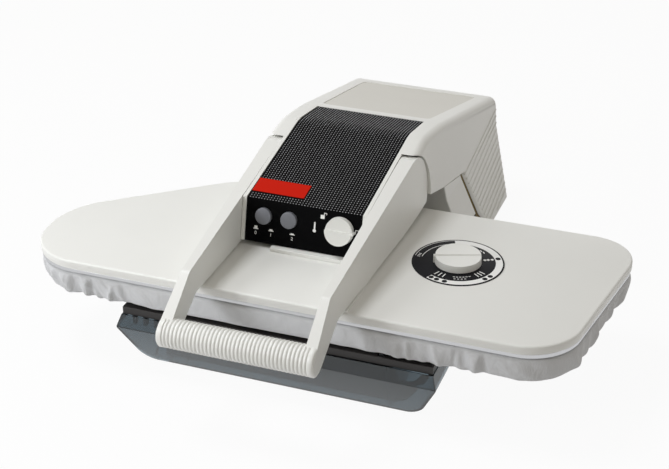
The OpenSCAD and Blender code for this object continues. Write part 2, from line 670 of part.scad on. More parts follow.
// The wide rear: balls at the top corners and rounds below the final cut, all moved in by d
below = 4;
rear_run = (rear_top[0] - 3 - rear_foot[0]) / (rear_top[1] - rear_foot[1]);
module shell_hull(d) hull() for (s = [-1, 1]) {
    for (p = [[190, bend[1] + 79 * (crest[1] - bend[1]) / (crest[0] - bend[0])], [crest[0] - 14, crest[1] - 3],
              [crest[0] + 16, crest[1] - 3.2], band_end, [head_back - edge_r + 3, rear_top[1] + 3.4]])
        translate([s * (head_half(p[1]) - edge_r), min(p[0], head_back - edge_r), p[1] - edge_r * 1.02])
            sphere(r = edge_r - d, $fn = 28);
    for (y = [190, rear_foot[0] - edge_r - below * rear_run])
        translate([s * (head_half(rear_foot[1]) - edge_r), y, rear_foot[1] - below])
            cylinder(h = 1, r = edge_r - d, $fn = 28);
}
module flare(d) intersection() {
    along(300, 300) polygon([[-flare_half + d, flare_z], [flare_half - d, flare_z],
                             [skirt_half - d, rear_foot[1]], [skirt_half - d, rear_foot[1] - 2 * below],
                             [-skirt_half + d, rear_foot[1] - 2 * below], [-skirt_half + d, rear_foot[1]]]);
    across(-skirt_half, 2 * skirt_half) polygon([
        [300, flare_z + 1], [rear_foot[0] + (flare_z + 1 - rear_foot[1]) * rear_run - 1 - d, flare_z + 1],
        [rear_foot[0] - 2 * below * rear_run - 1 - d, rear_foot[1] - 2 * below], [300, rear_foot[1] - 2 * below]]);
}
// What lies in front of the wide rear's lower edge
module arch_cut() polygon(concat([[100, -200], [100, arch[0][1]]], arch,
    [gap_top, gap_mid, gap_foot, [gap_foot[0], rear_foot[1]], [600, rear_foot[1]], [600, -200]]));

module recess(r) translate(pivot) circle(r = r, $fn = 48);
module head_housing() color(cream) on_arm() difference() {
    union() {
        // Wide rear
        difference() {
            union() {
                shell_hull(0);
                flare(0);
            }
            shell_hull(wall);
            flare(wall);
            across(-200, 400) arch_cut();
            translate([-200, 0, -200]) cube([400, notch_y + 3, 400]);
        }
        // Narrow front
        difference() {
            across(-core_half, 2 * core_half) core_side(0);
            across(-core_half + wall, 2 * (core_half - wall)) core_side(wall);
        }
        // Round walls behind the ends of the handle's arms
        intersection() {
            both() across(core_half - wall, 40) intersection() {
                recess(recess_r + 2);
                translate([notch_y + 3, arch[1][1] - 4]) square([60, crest[1] - 14 - arch[1][1] + 4]);
            }
            along(200, 100) polygon([for (k = [[-1, 1], [1, 1], [1, 0], [-1, 0]])
                let (z = 90 * k[1]) [k[0] * (head_half(z) - 1), z]]);
        }
    }
    // Room for the round ends of the handle's arms
    both() across(core_half, 60) recess(recess_r);
    // Seats of the band, the panel and the top cover
    across(-band_half - seat_gap, 2 * (band_half + seat_gap)) skin_seat(sink + skin_t);
    top_cover_block(seat_gap, 8);
    // Holes for the buttons and the selector
    translate([0, panel_foot[0], panel_foot[1]]) rotate([90 - lean, 0, 0]) {
        for (p = button_at) translate([p[0], p[1], -20]) cylinder(h = 30, r = button_r + 0.4, $fn = 48);
        translate([selector_at[0], selector_at[1], -20]) cylinder(h = 30, r = 5, $fn = 32);
    }
    // Holes for the handle's bushes
    axle(pivot, -core_half - 1, 2 * core_half + 2, shaft_r + 3);
}

// The sunk cover on the head's sloping top, wider towards the rear, with g added all round
cover_front = 352;
cover_back = head_back - 18;
module top_cover_block(g, h) {
    slope = atan2(rear_top[1] - band_end[1], rear_top[0] - band_end[0]);
    translate([0, band_end[0], band_end[1] - sink - skin_t]) rotate([slope, 0, 0]) linear_extrude(h) polygon([
        [-band_half - 1 - g, cover_front - band_end[0] - g], [band_half + 1 + g, cover_front - band_end[0] - g],
        [band_half + 10 + g, cover_back - band_end[0] + g], [-band_half - 10 - g, cover_back - band_end[0] + g]]);
}
module top_cover() color(pale) on_arm() top_cover_block(0, skin_t);

module grille_band() color(black) on_arm() across(-band_half, 2 * band_half)
    strip(moved_down(band_path, sink), skin_t);

module control_panel() color(black) on_panel() difference() {
    translate([-band_half, 0, -sink - skin_t]) cube([2 * band_half, panel_len - 0.8, skin_t]);
    for (p = button_at) translate([p[0], p[1], -10]) cylinder(h = 20, r = button_r + 0.25, $fn = 48);
    translate([selector_at[0], selector_at[1], -10]) cylinder(h = 20, r = 4, $fn = 32);
}

module push_button(i) color([0.45, 0.46, 0.48]) on_panel() translate([button_at[i][0], button_at[i][1], -8]) {
    cylinder(h = 8 + 4, r = button_r, $fn = 48);
    translate([0, 0, -2]) cylinder(h = 2, r = 3, $fn = 32);
}
module button_left() push_button(0);
module button_right() push_button(1);

module selector_knob() color(cream) on_panel() translate([selector_at[0], selector_at[1], 0.6 - sink]) difference() {
    union() {
        cylinder(h = selector_h, r = selector_r, $fn = 64);
        translate([selector_r - 4, -1.2, 0]) cube([5.5, 2.4, selector_h]);
    }
    translate([-selector_r - 5, 1.2, selector_h - 2]) cube([2 * selector_r + 10, selector_r + 5, 3]);
    translate([0, 0, -1]) cylinder(h = 5, r = 3, $fn = 32);
}
module selector_spindle() color(steel) on_panel()
    translate([selector_at[0], selector_at[1], -14]) cylinder(h = 18.6 - sink, r = 3, $fn = 32);

module control_board() color([0.12, 0.35, 0.2]) on_panel() {
    translate([-band_half + 6, 6, -24]) cube([2 * band_half - 12, panel_len - 14, 1.6]);
    for (x = [-band_half + 10, band_half - 10]) translate([x, 12, -24])
        cylinder(h = 24 - wall, r = 2.5, $fn = 24);
}
module panel_switches() color(charcoal) on_panel() {
    for (p = button_at) translate([p[0] - 6, p[1] - 6, -22.4]) cube([12, 12, 22.4 - 8 - 2 - button_travel - 0.5]);
    translate([selector_at[0] - 9, selector_at[1] - 9, -22.4]) difference() {
        cube([18, 18, 12]);
        translate([9, 9, 7.8]) cylinder(h = 5, r = 3 + run_gap, $fn = 32);
    }
}

module front_lip() color(cream) on_arm() difference() {
    translate([-35, panel_foot[0] - 6, 0]) cube([35 + core_half - 0.5, 9, panel_foot[1] - 1]);
    translate([89 - rail_w - seat_gap, panel_foot[0] - 7, -1]) cube([rail_w, 11, 1 + rail_h + seat_gap]);
}

// Two pressed cheeks on a foot plate, from the hinge over the base to the plate
module head_beam() color(steel) on_arm() {
    both() difference() {
        union() {
            across(cheek_in, cheek_t) polygon(rounded([
                [mount_y[0] - 3, beam_foot_z, 0], [mount_y[0] - 3, 26, 8], [190, 52, 14], [258, 52, 20], [400, 22, 40],
                [hinge_at[0] + 16, hinge_at[1] - plate_z + 20, 13], [hinge_at[0] + 16, hinge_at[1] - plate_z - 15, 13],
                [hinge_at[0] - 15, hinge_at[1] - plate_z - 15, 13], [hinge_at[0] - 19, hinge_at[1] - plate_z + 13, 5],
                [360, 0, 20], [320, beam_foot_z, 10], [mount_y[1] + 3, beam_foot_z, 0]]));
            axle([hinge_at[0], hinge_at[1] - plate_z], cheek_in, cheek_t + 5, hinge_r + 5);
        }
        axle([hinge_at[0], hinge_at[1] - plate_z], cheek_in - 1, cheek_t + 8, hinge_r + run_gap);
        axle(pivot, cheek_in - 1, cheek_t + 2, shaft_r + run_gap);
    }
    translate([-cheek_in - cheek_t, mount_y[0] - 3, beam_foot_z])
        cube([2 * (cheek_in + cheek_t), mount_y[1] - mount_y[0] + 6, 3]);
}

module handle_bushes() color(brass) on_arm() both() difference() {
    union() {
        axle(pivot, core_half - wall, wall, shaft_r + 3);
        axle(pivot, core_half - wall - 1.5, 1.5, shaft_r + 5);
    }
    axle(pivot, core_half - wall - 3, wall + 6, shaft_r + run_gap);
}

// Screws that hold the beam's foot to the mount, and the housing to the beam
module head_screws() color(steel) on_arm() for (x = [-36, 36], y = [mount_y[0] + 12, mount_y[1] - 12])
    translate([x, y, beam_foot_z + 3]) cylinder(h = 2.5, r = 4.5, $fn = 32);

// The handle

// Side of an arm, moved in by d
module arm_side(d) polygon(concat(
    [for (i = [0:14]) let (a = 98 - (98 + 42) * i / 14) pivot + (arm_end_r - d) * [cos(a), sin(a)]],
    corner([pivot[0], arm_low + d + 6], [170, arm_low + d], [elbow_foot[0], elbow_foot[1] + d], 60, 4),
    corner([170, arm_low + d], elbow_foot + [d * 0.3, d], [grip_at[0] + 8, grip_at[1] - 11 + d], 10, 5),
    [for (i = [0:10]) let (a = -60 - 165 * i / 10) grip_at + (grip_r - d) * [cos(a), sin(a)]],
    corner([grip_at[0] - 10, grip_at[1] + 10 - d], elbow_top + [d * 0.4, -d], pivot + [0, arm_end_r - d], 9, 5)));
// Plan of the left-hand arm's outside: it widens towards the shaft; d moves it in
module arm_plan(d) polygon([
    [core_half + move_gap, -120], [grip_half - d, -120], [grip_half - d, elbow_top[0]],
    [arm_half - d, 190], [arm_half - d, 300], [core_half + move_gap, 300]]);

module arm_solid(d, liner) intersection() {
    across(core_half, arm_half - core_half + 1) arm_side(d);
    translate([0, 0, -100]) linear_extrude(250) difference() {
        arm_plan(d);
        if (liner > 0) translate([core_half - 1, -200]) square([liner + 1 + move_gap, 600]);
    }
}
// One hollow arm, open on its inner side, with a boss for the shaft; its foot is a saddle on the grip
module handle_arm() difference() {
    union() {
        difference() {
            arm_solid(0, 0);
            translate([-1, 0, 0]) arm_solid(arm_wall, 0);
        }
        intersection() {
            axle(pivot, core_half + move_gap, arm_half - core_half, shaft_r + 5);
            arm_solid(0, 0);
        }
    }
    axle(pivot, core_half, arm_half - core_half - 4, shaft_r);
    axle(grip_at, core_half - 2, 40, grip_r - 2);
}
module handle_arm_left() color(cream) on_arm() mirror([1, 0, 0]) handle_arm();
module handle_arm_right() color(cream) on_arm() handle_arm();

// Flat plates that close the arms' inner sides
module arm_liners() color(cream) on_arm() both() difference() {
    across(core_half + move_gap, arm_wall - 0.5) arm_side(arm_wall + seat_gap);
    axle(pivot, core_half - 1, 20, shaft_r + 5 + seat_gap);
    axle(grip_at, core_half - 2, 40, grip_r + 0.5);
}

// The grip is a ribbed sleeve: flat-bottomed grooves between round rings
module grip() color(cream) on_arm() translate([0, grip_at[0], grip_at[1]]) rotate([0, 90, 0]) {
    pitch = 2 * (core_half + move_gap) / grip_rings;
    difference() {
        translate([0, 0, -grip_half]) cylinder(h = 2 * grip_half, r = grip_r, $fn = 64);
        for (i = [0:grip_rings]) translate([0, 0, -core_half - move_gap + i * pitch]) rotate_extrude($fn = 64)
            translate([grip_r - 1.2, -0.7]) square([3, 1.4]);
        cylinder(h = 2 * grip_half - 8, r = grip_r - 7, center = true, $fn = 48);
        for (s = [0, 1]) mirror([0, 0, s]) translate([0, 0, core_half + move_gap - 0.1]) saddle_room();
    }
}
// Room for an arm's foot over the sleeve
module saddle_room() difference() {
    cylinder(h = 30, r = grip_r + 5, $fn = 48);
    translate([0, 0, -1]) cylinder(h = 40, r = grip_r - 2.1, $fn = 64);
}
module grip_core() color(steel) on_arm() translate([0, grip_at[0], grip_at[1]]) rotate([0, 90, 0])
    cylinder(h = 2 * grip_half - 8, r = grip_r - 7, center = true, $fn = 48);

module handle_shaft() color(steel) on_arm() axle(pivot, -arm_half + 4, 2 * arm_half - 8, shaft_r);

// Levers on the handle's shaft point to the rear and press the lift switch when the handle is pulled up
module shaft_levers() color(steel) on_arm() both() difference() {
    union() {
        axle(pivot, lever_in, lever_t, shaft_r + 5);
        across(lever_in, lever_t) polygon([pivot + [0, -7], pivot + [lever_len, -lever_end_r],
            pivot + [lever_len, lever_end_r], pivot + [0, 9]]);
        axle(pivot + [lever_len, 0], lever_in, lever_t, lever_end_r);
    }
    axle(pivot, lever_in - 1, lever_t + 2, shaft_r);
}
module lift_switch() color(charcoal) on_arm() both()
    translate([lever_in - 4, pivot[0] + lever_len - 12, pivot[1] - lever_end_r - lift_drop - 14])
        cube([cheek_in - lever_in + 4, 24, 14]);

rubber_feet();
base_tray();
base_cover();
base_deck();
tank_rails();
board_panel();
board_pad();
board_cover();
hinge_brackets();
hinge_shaft();
hinge_bushes();
lift_springs();
water_pump();
pump_hose();
tank_coupling();
mains_gland();
base_screws();
tank_shell();
tank_lid();
filler_cap();
tank_valve();
tank_filter();
head_housing();
top_cover();
grille_band();
control_panel();
head_beam();
handle_bushes();
control_board();
panel_switches();
front_lip();
plate_cover();
plate_rails();
heat_plate();
plate_mount();
heating_element();
steam_chamber();
steam_tube();
steam_valve();
insulation_sheet();
thermostat();
thermal_fuse();
dial_disc();
head_screws();
handle_arm_left();
handle_arm_right();
arm_liners();
grip();
grip_core();
handle_shaft();
shaft_levers();
lift_switch();
button_left();
button_right();
selector_knob();
selector_spindle();
dial_knob();
dial_spindle();
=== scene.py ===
"""Steam ironing station, closed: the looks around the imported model."""

import math
import random

import bmesh
import bpy
from mathutils import Matrix, Vector


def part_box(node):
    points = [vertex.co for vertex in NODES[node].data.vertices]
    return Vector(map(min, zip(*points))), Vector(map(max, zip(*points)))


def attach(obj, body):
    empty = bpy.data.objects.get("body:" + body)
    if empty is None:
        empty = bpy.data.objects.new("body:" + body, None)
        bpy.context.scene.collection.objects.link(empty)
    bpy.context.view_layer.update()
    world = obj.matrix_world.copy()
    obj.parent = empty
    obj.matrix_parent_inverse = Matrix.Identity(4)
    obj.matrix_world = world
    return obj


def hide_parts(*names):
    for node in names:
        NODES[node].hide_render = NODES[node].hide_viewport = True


bl_info = {
    "name": "Steam ironing station",
    "version": (1, 0, 0),
    "blender": (4, 5, 0),
    "location": "View3D > Sidebar > Ironing",
    "description": "Builds a clam-shell steam press for ironing around its packed model",
    "category": "Object",
}

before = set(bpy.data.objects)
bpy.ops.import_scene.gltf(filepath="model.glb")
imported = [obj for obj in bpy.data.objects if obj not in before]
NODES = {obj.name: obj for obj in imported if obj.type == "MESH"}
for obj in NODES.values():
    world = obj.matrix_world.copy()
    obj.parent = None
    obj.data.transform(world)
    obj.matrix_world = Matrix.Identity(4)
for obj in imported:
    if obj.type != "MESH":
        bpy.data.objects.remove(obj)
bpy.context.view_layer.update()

# Places and sizes are written in millimetres, in the frame of the part they belong to
MM = 0.001
PLATE_TOP = 121.9
HEAD_X = -25
FRONT_Y = -236
PLATE_DEPTH = 253
DIAL = (142, 141)
# Centre and radius of each corner of the plate, in order round it
PLATE_CIRCLES = ((-255, 65, 65), (238, 60, 60), (270, 203, 50), (-116, 153, 100), (-242, 78, 78))
CLOTH_TOP = 106.6
# From one point of the cloth to the next, and how far its skirt hangs
CLOTH_STEP = 2.2
SKIRT_DROP = 28
BOARD_LOW = 84
BOARD_TOP = 92
PLATE_COVER = 10
# Side of the head: (distance behind the plate's front edge, height over its top)
FOOT = (100, 5.5)
BEND = (111, 54.5)
CREST = (272, 80.5)
BAND_END = (333.6, 71)
REAR_TOP = (566, 14)
REAR_FOOT = (535, -111.9)
PIVOT = (225, 33)
GRIP = (-75, -14)
# Places on the panel, (across, up)
BUTTONS = {"left": (-46.4, 31), "right": (-16.5, 31)}
SELECTOR = (43, 29)
CORE_HALF = 72
BAND_HALF = 67.4
# Height below which the head's walls flare
FLARE_Z = -21.9
WALL = 3
SUNK = 1
LEAN = math.atan2(BEND[0] - FOOT[0], BEND[1] - FOOT[1])
PANEL_LENGTH = math.hypot(BEND[0] - FOOT[0], BEND[1] - FOOT[1])
BAND_SLOPE = math.atan2(CREST[1] - BEND[1], CREST[0] - BEND[0])
TOP_SLOPE = math.atan2(REAR_TOP[1] - BAND_END[1], REAR_TOP[0] - BAND_END[0])

disc_low, disc_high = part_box("dial_disc")
TO_ROW = (
    Matrix.Translation((disc_low + disc_high) / 2)
    @ Matrix.Scale(MM, 4)
    @ Matrix.Translation((-DIAL[0], -FRONT_Y - DIAL[1], -PLATE_TOP - 0.3))
)
TABLE = Matrix.Translation((0, FRONT_Y, 0))
PLATE = Matrix.Translation((0, FRONT_Y, PLATE_TOP))
HEAD = Matrix.Translation((HEAD_X, FRONT_Y, PLATE_TOP))
TANK = Matrix.Translation((HEAD_X + 5, FRONT_Y, 0))
PANEL = HEAD @ Matrix.Translation((0, *FOOT)) @ Matrix.Rotation(math.pi / 2 - LEAN, 4, "X")
BAND = HEAD @ Matrix.Translation((0, *BEND)) @ Matrix.Rotation(BAND_SLOPE, 4, "X")
COVER = HEAD @ Matrix.Translation((0, *BAND_END)) @ Matrix.Rotation(TOP_SLOPE, 4, "X")
DISC = PLATE @ Matrix.Translation((*DIAL, 0.6))
# Turn a shape drawn flat as (across, up) into a side view in y and z, or a front view in x and z
SIDE = Matrix(((0, 0, 1, 0), (1, 0, 0, 0), (0, 1, 0, 0), (0, 0, 0, 1)))
FRONT = Matrix(((1, 0, 0, 0), (0, 0, -1, 0), (0, 1, 0, 0), (0, 0, 0, 1)))


def linear(code):
    """An sRGB hex colour as the linear colour that a shader takes."""
    parts = [int(code[i : i + 2], 16) / 255 for i in (0, 2, 4)]
    return (*(p / 12.92 if p <= 0.04045 else ((p + 0.055) / 1.055) ** 2.4 for p in parts), 1)


# Settings that a user would change


class PressColours(bpy.types.PropertyGroup):
    """Colours of the station's finishes"""

    def colour(label, text, code):
        return bpy.props.FloatVectorProperty(
            name=label, description=text, subtype="COLOR", size=4, min=0, max=1, default=linear(code)
        )

    cream: colour("Housing", "Moulded housing, arms and plate cover", "E9E9E5")
    pale: colour("Top cover", "Sunk cover on the head's sloping top", "D9D7D0")
    cloth: colour("Board cover", "Cotton cover of the ironing board", "D5D6D8")
    smoke: colour("Water tank", "Smoke-tinted clear plastic of the tank", "77868E")
    badge: colour("Badge", "Plain badge on the black band", "C81A04")
    # The dots' light grey is partly their own colour and partly painted highlight
    dots: colour("Band dots", "Raised dots of the black band", "A6A6A8")


class PressSizes(bpy.types.PropertyGroup):
    """Sizes of the details that only the looks have"""

    def length(label, text, value):
        return bpy.props.FloatProperty(
            name=label, description=text, default=value * MM, min=0, unit="LENGTH"
        )

    ring_pitch: length("Grip ring pitch", "From one ring of the grip to the next", 4.25)
    ring_height: length("Grip ring height", "How far a ring stands out of its groove", 1.1)
    dot_pitch: length("Band dot pitch", "From one dot of the black band to the next", 3.37)
    rib_pitch: length("Wall rib pitch", "From one rib of the head's rear walls to the next", 8.2)
    fillet: length("Housing fillet", "Radius of the head's long edges", 9.5)
    fold: length("Cloth fold", "Depth of the deepest folds of the board's cover", 6)


# Materials


def add_node(tree, kind, inputs=None, **settings):
    """Adds a shader node with its settings and its inputs, each a value or a socket to link."""
    made = tree.nodes.new("ShaderNode" + kind)
    for name, value in settings.items():
        setattr(made, name, value)
    for name, value in (inputs or {}).items():
        if isinstance(value, bpy.types.NodeSocket):
            tree.links.new(value, made.inputs[name])
        else:
            made.inputs[name].default_value = value
    return made


def per(size):
    """Scale of a pattern on Object coordinates whose parts are size millimetres apart."""
    return 1 / (size * MM)


def empty_tree(holder):
    """The node tree of a material or of a world, with no node in it."""
    holder.use_nodes = True
    holder.node_tree.nodes.clear()
    return holder.node_tree


def new_material(name, surface):
    """A material with its shader, its output and its Object coordinates."""
    made = bpy.data.materials.new(name)
    tree = empty_tree(made)
    shader = add_node(tree, "BsdfPrincipled", surface)
    add_node(tree, "OutputMaterial", {"Surface": shader.outputs["BSDF"]})
    place = add_node(tree, "TexCoord").outputs["Object"]
    return made, tree, shader, place


def shaded(colour, share):
    """The colour made lighter or darker by a share."""
    return (*(min(1, max(0, part * share)) for part in colour[:3]), 1)


def mixed(tree, share, low, high):
    """A colour between two others."""
    return add_node(tree, "Mix", {0: share, 6: low, 7: high}, data_type="RGBA").outputs[2]


def bumped(tree, height, distance, strength, under=None):
    """The relief of a pattern, distance millimetres high, on top of another relief."""
    inputs = {"Height": height, "Distance": distance * MM, "Strength": strength}
    if under:
        inputs["Normal"] = under
    return add_node(tree, "Bump", inputs).outputs["Normal"]


def finish_surface(tree, shader, place, colour, mottle, cloud, rough, grain, relief):
    """Gives a surface its cloudy colour, its uneven gloss and, unless it is 0, its fine relief."""
    soft = add_node(tree, "TexNoise", {"Vector": place, "Scale": per(cloud), "Detail": 3.0})
    tint = mixed(tree, soft.outputs["Fac"], shaded(colour, 1 - mottle), shaded(colour, 1 + mottle))
    fine = add_node(tree, "TexNoise", {"Vector": place, "Scale": per(grain), "Detail": 2.0})
    gloss = add_node(
        tree, "MapRange", {"Value": fine.outputs["Fac"], "To Min": rough * 0.88, "To Max": rough * 1.12}
    )
    tree.links.new(tint, shader.inputs["Base Color"])
    tree.links.new(gloss.outputs["Result"], shader.inputs["Roughness"])
    if relief:
        tree.links.new(bumped(tree, fine.outputs["Fac"], relief, 0.6), shader.inputs["Normal"])
    return tint


def moulded(name, colour, rough=0.42, mottle=0.02, grain=0.7, relief=0.05, **surface):
    """A moulded thermoplastic: an even colour, a soft gloss and the tool's fine grain."""
    made, tree, shader, place = new_material(name, {"IOR": 1.53, **surface})
    finish_surface(tree, shader, place, colour, mottle, 80, rough, grain, relief)
    return made


def metal(name, colour, rough, stretch):
    """A bare metal: grey reflections, streaked where it was rolled or brushed."""
    made, tree, shader, place = new_material(name, {"Metallic": 1.0})
    turned = add_node(tree, "Mapping", {"Vector": place, "Scale": stretch}).outputs["Vector"]
    finish_surface(tree, shader, turned, colour, 0.06, 30, rough, 0.8, 0.02)
    return made


def cotton(colour):
    """Silver-white satin cotton: soft sheen, plain weave and faint cloudy shading."""
    made, tree, shader, place = new_material(
        "woven cotton", {"Sheen Weight": 0.35, "Sheen Roughness": 0.4, "Specular IOR Level": 0.3}
    )
    base = finish_surface(tree, shader, place, colour, 0.05, 26, 0.72, 0.8, 0)
    # Threads 1.2 mm apart, coarser than the real 0.4 mm so that they show close up
    heights = []
    for turn in (0, math.pi / 2):
        line = add_node(tree, "Mapping", {"Vector": place, "Rotation": (0, 0, turn + 0.06)})
        wave = add_node(
            tree,
            "TexWave",
            {"Vector": line.outputs["Vector"], "Scale": math.tau * per(1.2) / 20, "Distortion": 0.4},
            bands_direction="X",
        )
        heights.append(wave.outputs["Fac"])
    weave = add_node(tree, "Math", {0: heights[0], 1: heights[1]}, operation="MULTIPLY")
    # Small creases about 9 mm apart, drawn out along the fall of the cloth
    drawn = add_node(tree, "Mapping", {"Vector": place, "Scale": (1, 1, 0.4), "Rotation": (0.25, -0.3, 0)})
    crease = add_node(
        tree,
        "TexNoise",
        {"Vector": drawn.outputs["Vector"], "Scale": per(9), "Detail": 3.0, "Distortion": 0.6},
    )
    folded = bumped(tree, crease.outputs["Fac"], 2.2, 0.5)
    woven = bumped(tree, weave.outputs["Value"], 0.1, 0.4, folded)
    tree.links.new(woven, shader.inputs["Normal"])
    thread = mixed(tree, weave.outputs["Value"], shaded(colour, 0.93), base)
    tree.links.new(thread, shader.inputs["Base Color"])
    return made


def clear_plastic(colour):
    """Smoke-tinted clear styrene: glossy, see-through, darker where its walls overlap."""
    made, tree, shader, place = new_material(
        "clear tinted plastic", {"IOR": 1.55, "Transmission Weight": 0.95}
    )
    finish_surface(tree, shader, place, colour, 0.04, 60, 0.03, 30, 0)
    return made


def make_materials(colours):
    """Every finish of the station, under the name of the record's slot or of the mark."""
    dull = "Specular IOR Level"
    return {
        # ABS with a satin tool finish: off-white, broad soft highlights
        "cream": moulded("moulded cream ABS", colours.cream, 0.40),
        # The same ABS from a matt tool: a little greyer and flatter
        "pale": moulded("matt cream ABS", colours.pale, 0.55, relief=0.08),
        # Black polycarbonate sheet: deep and smooth, with hardly a reflection
        "black": moulded("black polycarbonate", linear("040405"), 0.2, 0.1, relief=0.01, **{dull: 0.04}),
        # Textured black ABS under the dots: matt, so the dots stand out
        "band": moulded("textured black ABS", linear("040405"), 0.6, 0.2, 0.5, 0.06, **{dull: 0.03}),
        # Tips of the dots: a light grey, partly their own colour and partly painted highlight for the glint
        # each one catches
        "dots": moulded("grey ABS with painted glints", colours.dots, 0.32, 0.1, 0.5, 0.02),
        # Glass-filled nylon: dark grey and dull
        "charcoal": moulded("charcoal nylon", linear("211E1D"), 0.58, 0.08, 0.9, 0.08),
        # Painted shade in the seams behind the tower: olive-brown strips standing for the shaded gaps, soft
        # olive lines instead of black ones
        "seam_shade": moulded("olive strip of painted seam shade", linear("75653F"), 0.9, 0.05, 0.6, 0.08),
        # Smooth dark ABS: deep brown tabs and struts seen through the tank, and a sheet on its floor that is
        # painted shade for the shadow under the machine
        "insert": moulded("dark brown ABS and painted floor shade", linear("231F1D"), 0.3, 0.05, relief=0.01),
        # Push buttons: plain mid grey, soft gloss
        "button_grey": moulded("moulded grey ABS", linear("6E7076"), 0.45, 0.03),
        # Foil of the dial: even black with a faint blue
        "disc": moulded("black printed foil", linear("101014"), 0.4, 0.05, relief=0.01, **{dull: 0.08}),
        # Ink: flat white signs
        "print": moulded("white printing ink", linear("F2F2F0"), 0.6, 0.02, 0.4, 0.01),
        # Foil of the badge: even strong red
        "badge": moulded("red foil", colours.badge, 0.45, 0.03, 0.4, 0.01, **{dull: 0.05}),
        "smoke": clear_plastic(colours.smoke),
        # Zinc-plated sheet: rolled streaks along y
        "steel": metal("zinc-plated steel", linear("A6A8AC"), 0.36, (1, 0.08, 1)),
        # Heating plate: pale, with broad brushed reflections
        "aluminium": metal("satin aluminium", linear("C8C9CB"), 0.42, (1, 0.2, 1)),
        # Bushes: yellow with turned lines
        "brass": metal("turned brass", linear("C0A060"), 0.3, (0.1, 1, 1)),
        # Feet: dull black with a coarse grain
        "foot_rubber": moulded("moulded rubber", linear("1C1C1D"), 0.85, 0.08, 0.6, 0.1),
        # Hose: milky and smooth
        "hose": moulded("silicone hose", linear("D8D8D2"), 0.5, 0.04),
        # Foam: yellowish, open and rough
        "foam": moulded("polyether foam", linear("D9D2B8"), 0.95, 0.08, 1.2, 0.4),
        "cloth": cotton(colours.cloth),
        # Circuit board: green lacquer
        "circuit_board": moulded("glass-epoxy board", linear("1C5A33"), 0.4, 0.1, 0.5, 0.03),
    }


MATERIALS = {}


# Shapes


def bevelled(bm, geom, width, affect, segments, clamp):
    """Rounds corners or edges of a form."""
    bmesh.ops.bevel(
        bm,
        geom=geom,
        offset=width,
        offset_type="OFFSET",
        affect=affect,
        segments=segments,
        profile=0.5,
        clamp_overlap=clamp,
        material=-1,
    )


def flat_shape(corners, steps=8):
    """One flat face through corners of (across, up, radius), rounded corner by corner."""
    bm = bmesh.new()
    verts = [bm.verts.new((c[0], c[1], 0)) for c in corners]
    bm.faces.new(verts)
    for vert, spot in zip(verts, corners):
        if len(spot) < 3 or spot[2] <= 0:
            continue
        ways = [edge.other_vert(vert).co - vert.co for edge in vert.link_edges]
        half = ways[0].angle(ways[1]) / 2
        count = max(steps, int(spot[2] * (math.pi - 2 * half) / 4))
        bevelled(bm, [vert], spot[2] / math.tan(half), "VERTICES", count, False)
    return bm


def pull(bm, along):
    """Extrudes every face along a vector into a closed solid."""
    made = bmesh.ops.extrude_face_region(bm, geom=bm.faces[:])["geom"]
    moved = [item for item in made if isinstance(item, bmesh.types.BMVert)]
    bmesh.ops.translate(bm, verts=moved, vec=along)
    bmesh.ops.recalc_face_normals(bm, faces=bm.faces[:])
    return bm


def block(corners, low, high, place=None, steps=8):
    """A flat shape pulled from low to high along its own normal."""
    bm = pull(flat_shape(corners, steps), (0, 0, high - low))
    shift = (place or Matrix.Identity(4)) @ Matrix.Translation((0, 0, low))
    bmesh.ops.transform(bm, matrix=shift, verts=bm.verts[:])
    bmesh.ops.recalc_face_normals(bm, faces=bm.faces[:])
    return bm


def rectangle(x0, y0, x1, y1, r=0):
    """Corners of a rectangle, each with the same radius."""
    return [(x0, y0, r), (x1, y0, r), (x1, y1, r), (x0, y1, r)]


def drum(radius, low, high, place=None, steps=64, top=None):
    """A round bar along its own z, or a cone where top is given."""
    bm = bmesh.new()
    bmesh.ops.create_cone(
        bm,
        cap_ends=True,
        segments=steps,
        radius1=radius,
        radius2=radius if top is None else top,
        depth=high - low,
        matrix=(place or Matrix.Identity(4)) @ Matrix.Translation((0, 0, (low + high) / 2)),
    )
    return bm


def ease(bm, width, test=None, segments=3, least=30):
    """Rounds the edges that turn by more than least degrees and pass the test."""
    picked = [
        e
        for e in bm.edges
        if len(e.link_faces) == 2
        and e.calc_face_angle(0) > math.radians(least)
        and (test is None or test(e))
    ]
    bevelled(bm, picked, width, "EDGES", segments, True)
    return bm


def slice_at(bm, point, normal):
    """Adds the edges where a plane crosses the form."""
    geom = bm.verts[:] + bm.edges[:] + bm.faces[:]
    bmesh.ops.bisect_plane(bm, geom=geom, plane_co=point, plane_no=normal)


def as_object(bm, name="form"):
    """Turns a form into an object of the scene."""
    mesh = bpy.data.meshes.new(name)
    bm.to_mesh(mesh)
    bm.free()
    made = bpy.data.objects.new(name, mesh)
    bpy.context.scene.collection.objects.link(made)
    return made


def combine(bm, other, operation="DIFFERENCE"):
    """Cuts, joins or crosses two closed forms exactly."""
    first, second = as_object(bm), as_object(other)
    change = first.modifiers.new("combine", "BOOLEAN")
    change.operation = operation
    change.solver = "EXACT"
    change.object = second
    graph = bpy.context.evaluated_depsgraph_get()
    graph.update()
    made = bmesh.new()
    made.from_mesh(first.evaluated_get(graph).data)
    for used in (first, second):
        mesh = used.data
        bpy.data.objects.remove(used)
        bpy.data.meshes.remove(mesh)
    if not made.faces:
        raise RuntimeError(f"a {operation.lower()} left nothing")
    return made


def join(*forms):
    """Several forms as one, each keeping its own surface."""
    whole = forms[0]
    for form in forms[1:]:
        mesh = bpy.data.meshes.new("joined")
        form.to_mesh(mesh)
        form.free()
        whole.from_mesh(mesh)
        bpy.data.meshes.remove(mesh)
    return whole


def mirrored(bm):
    """The form with its copy on the other side of x = 0."""
    copy = bm.copy()
    bmesh.ops.scale(copy, vec=(-1, 1, 1), verts=copy.verts[:])
    bmesh.ops.reverse_faces(copy, faces=copy.faces[:])
    return join(bm, copy)


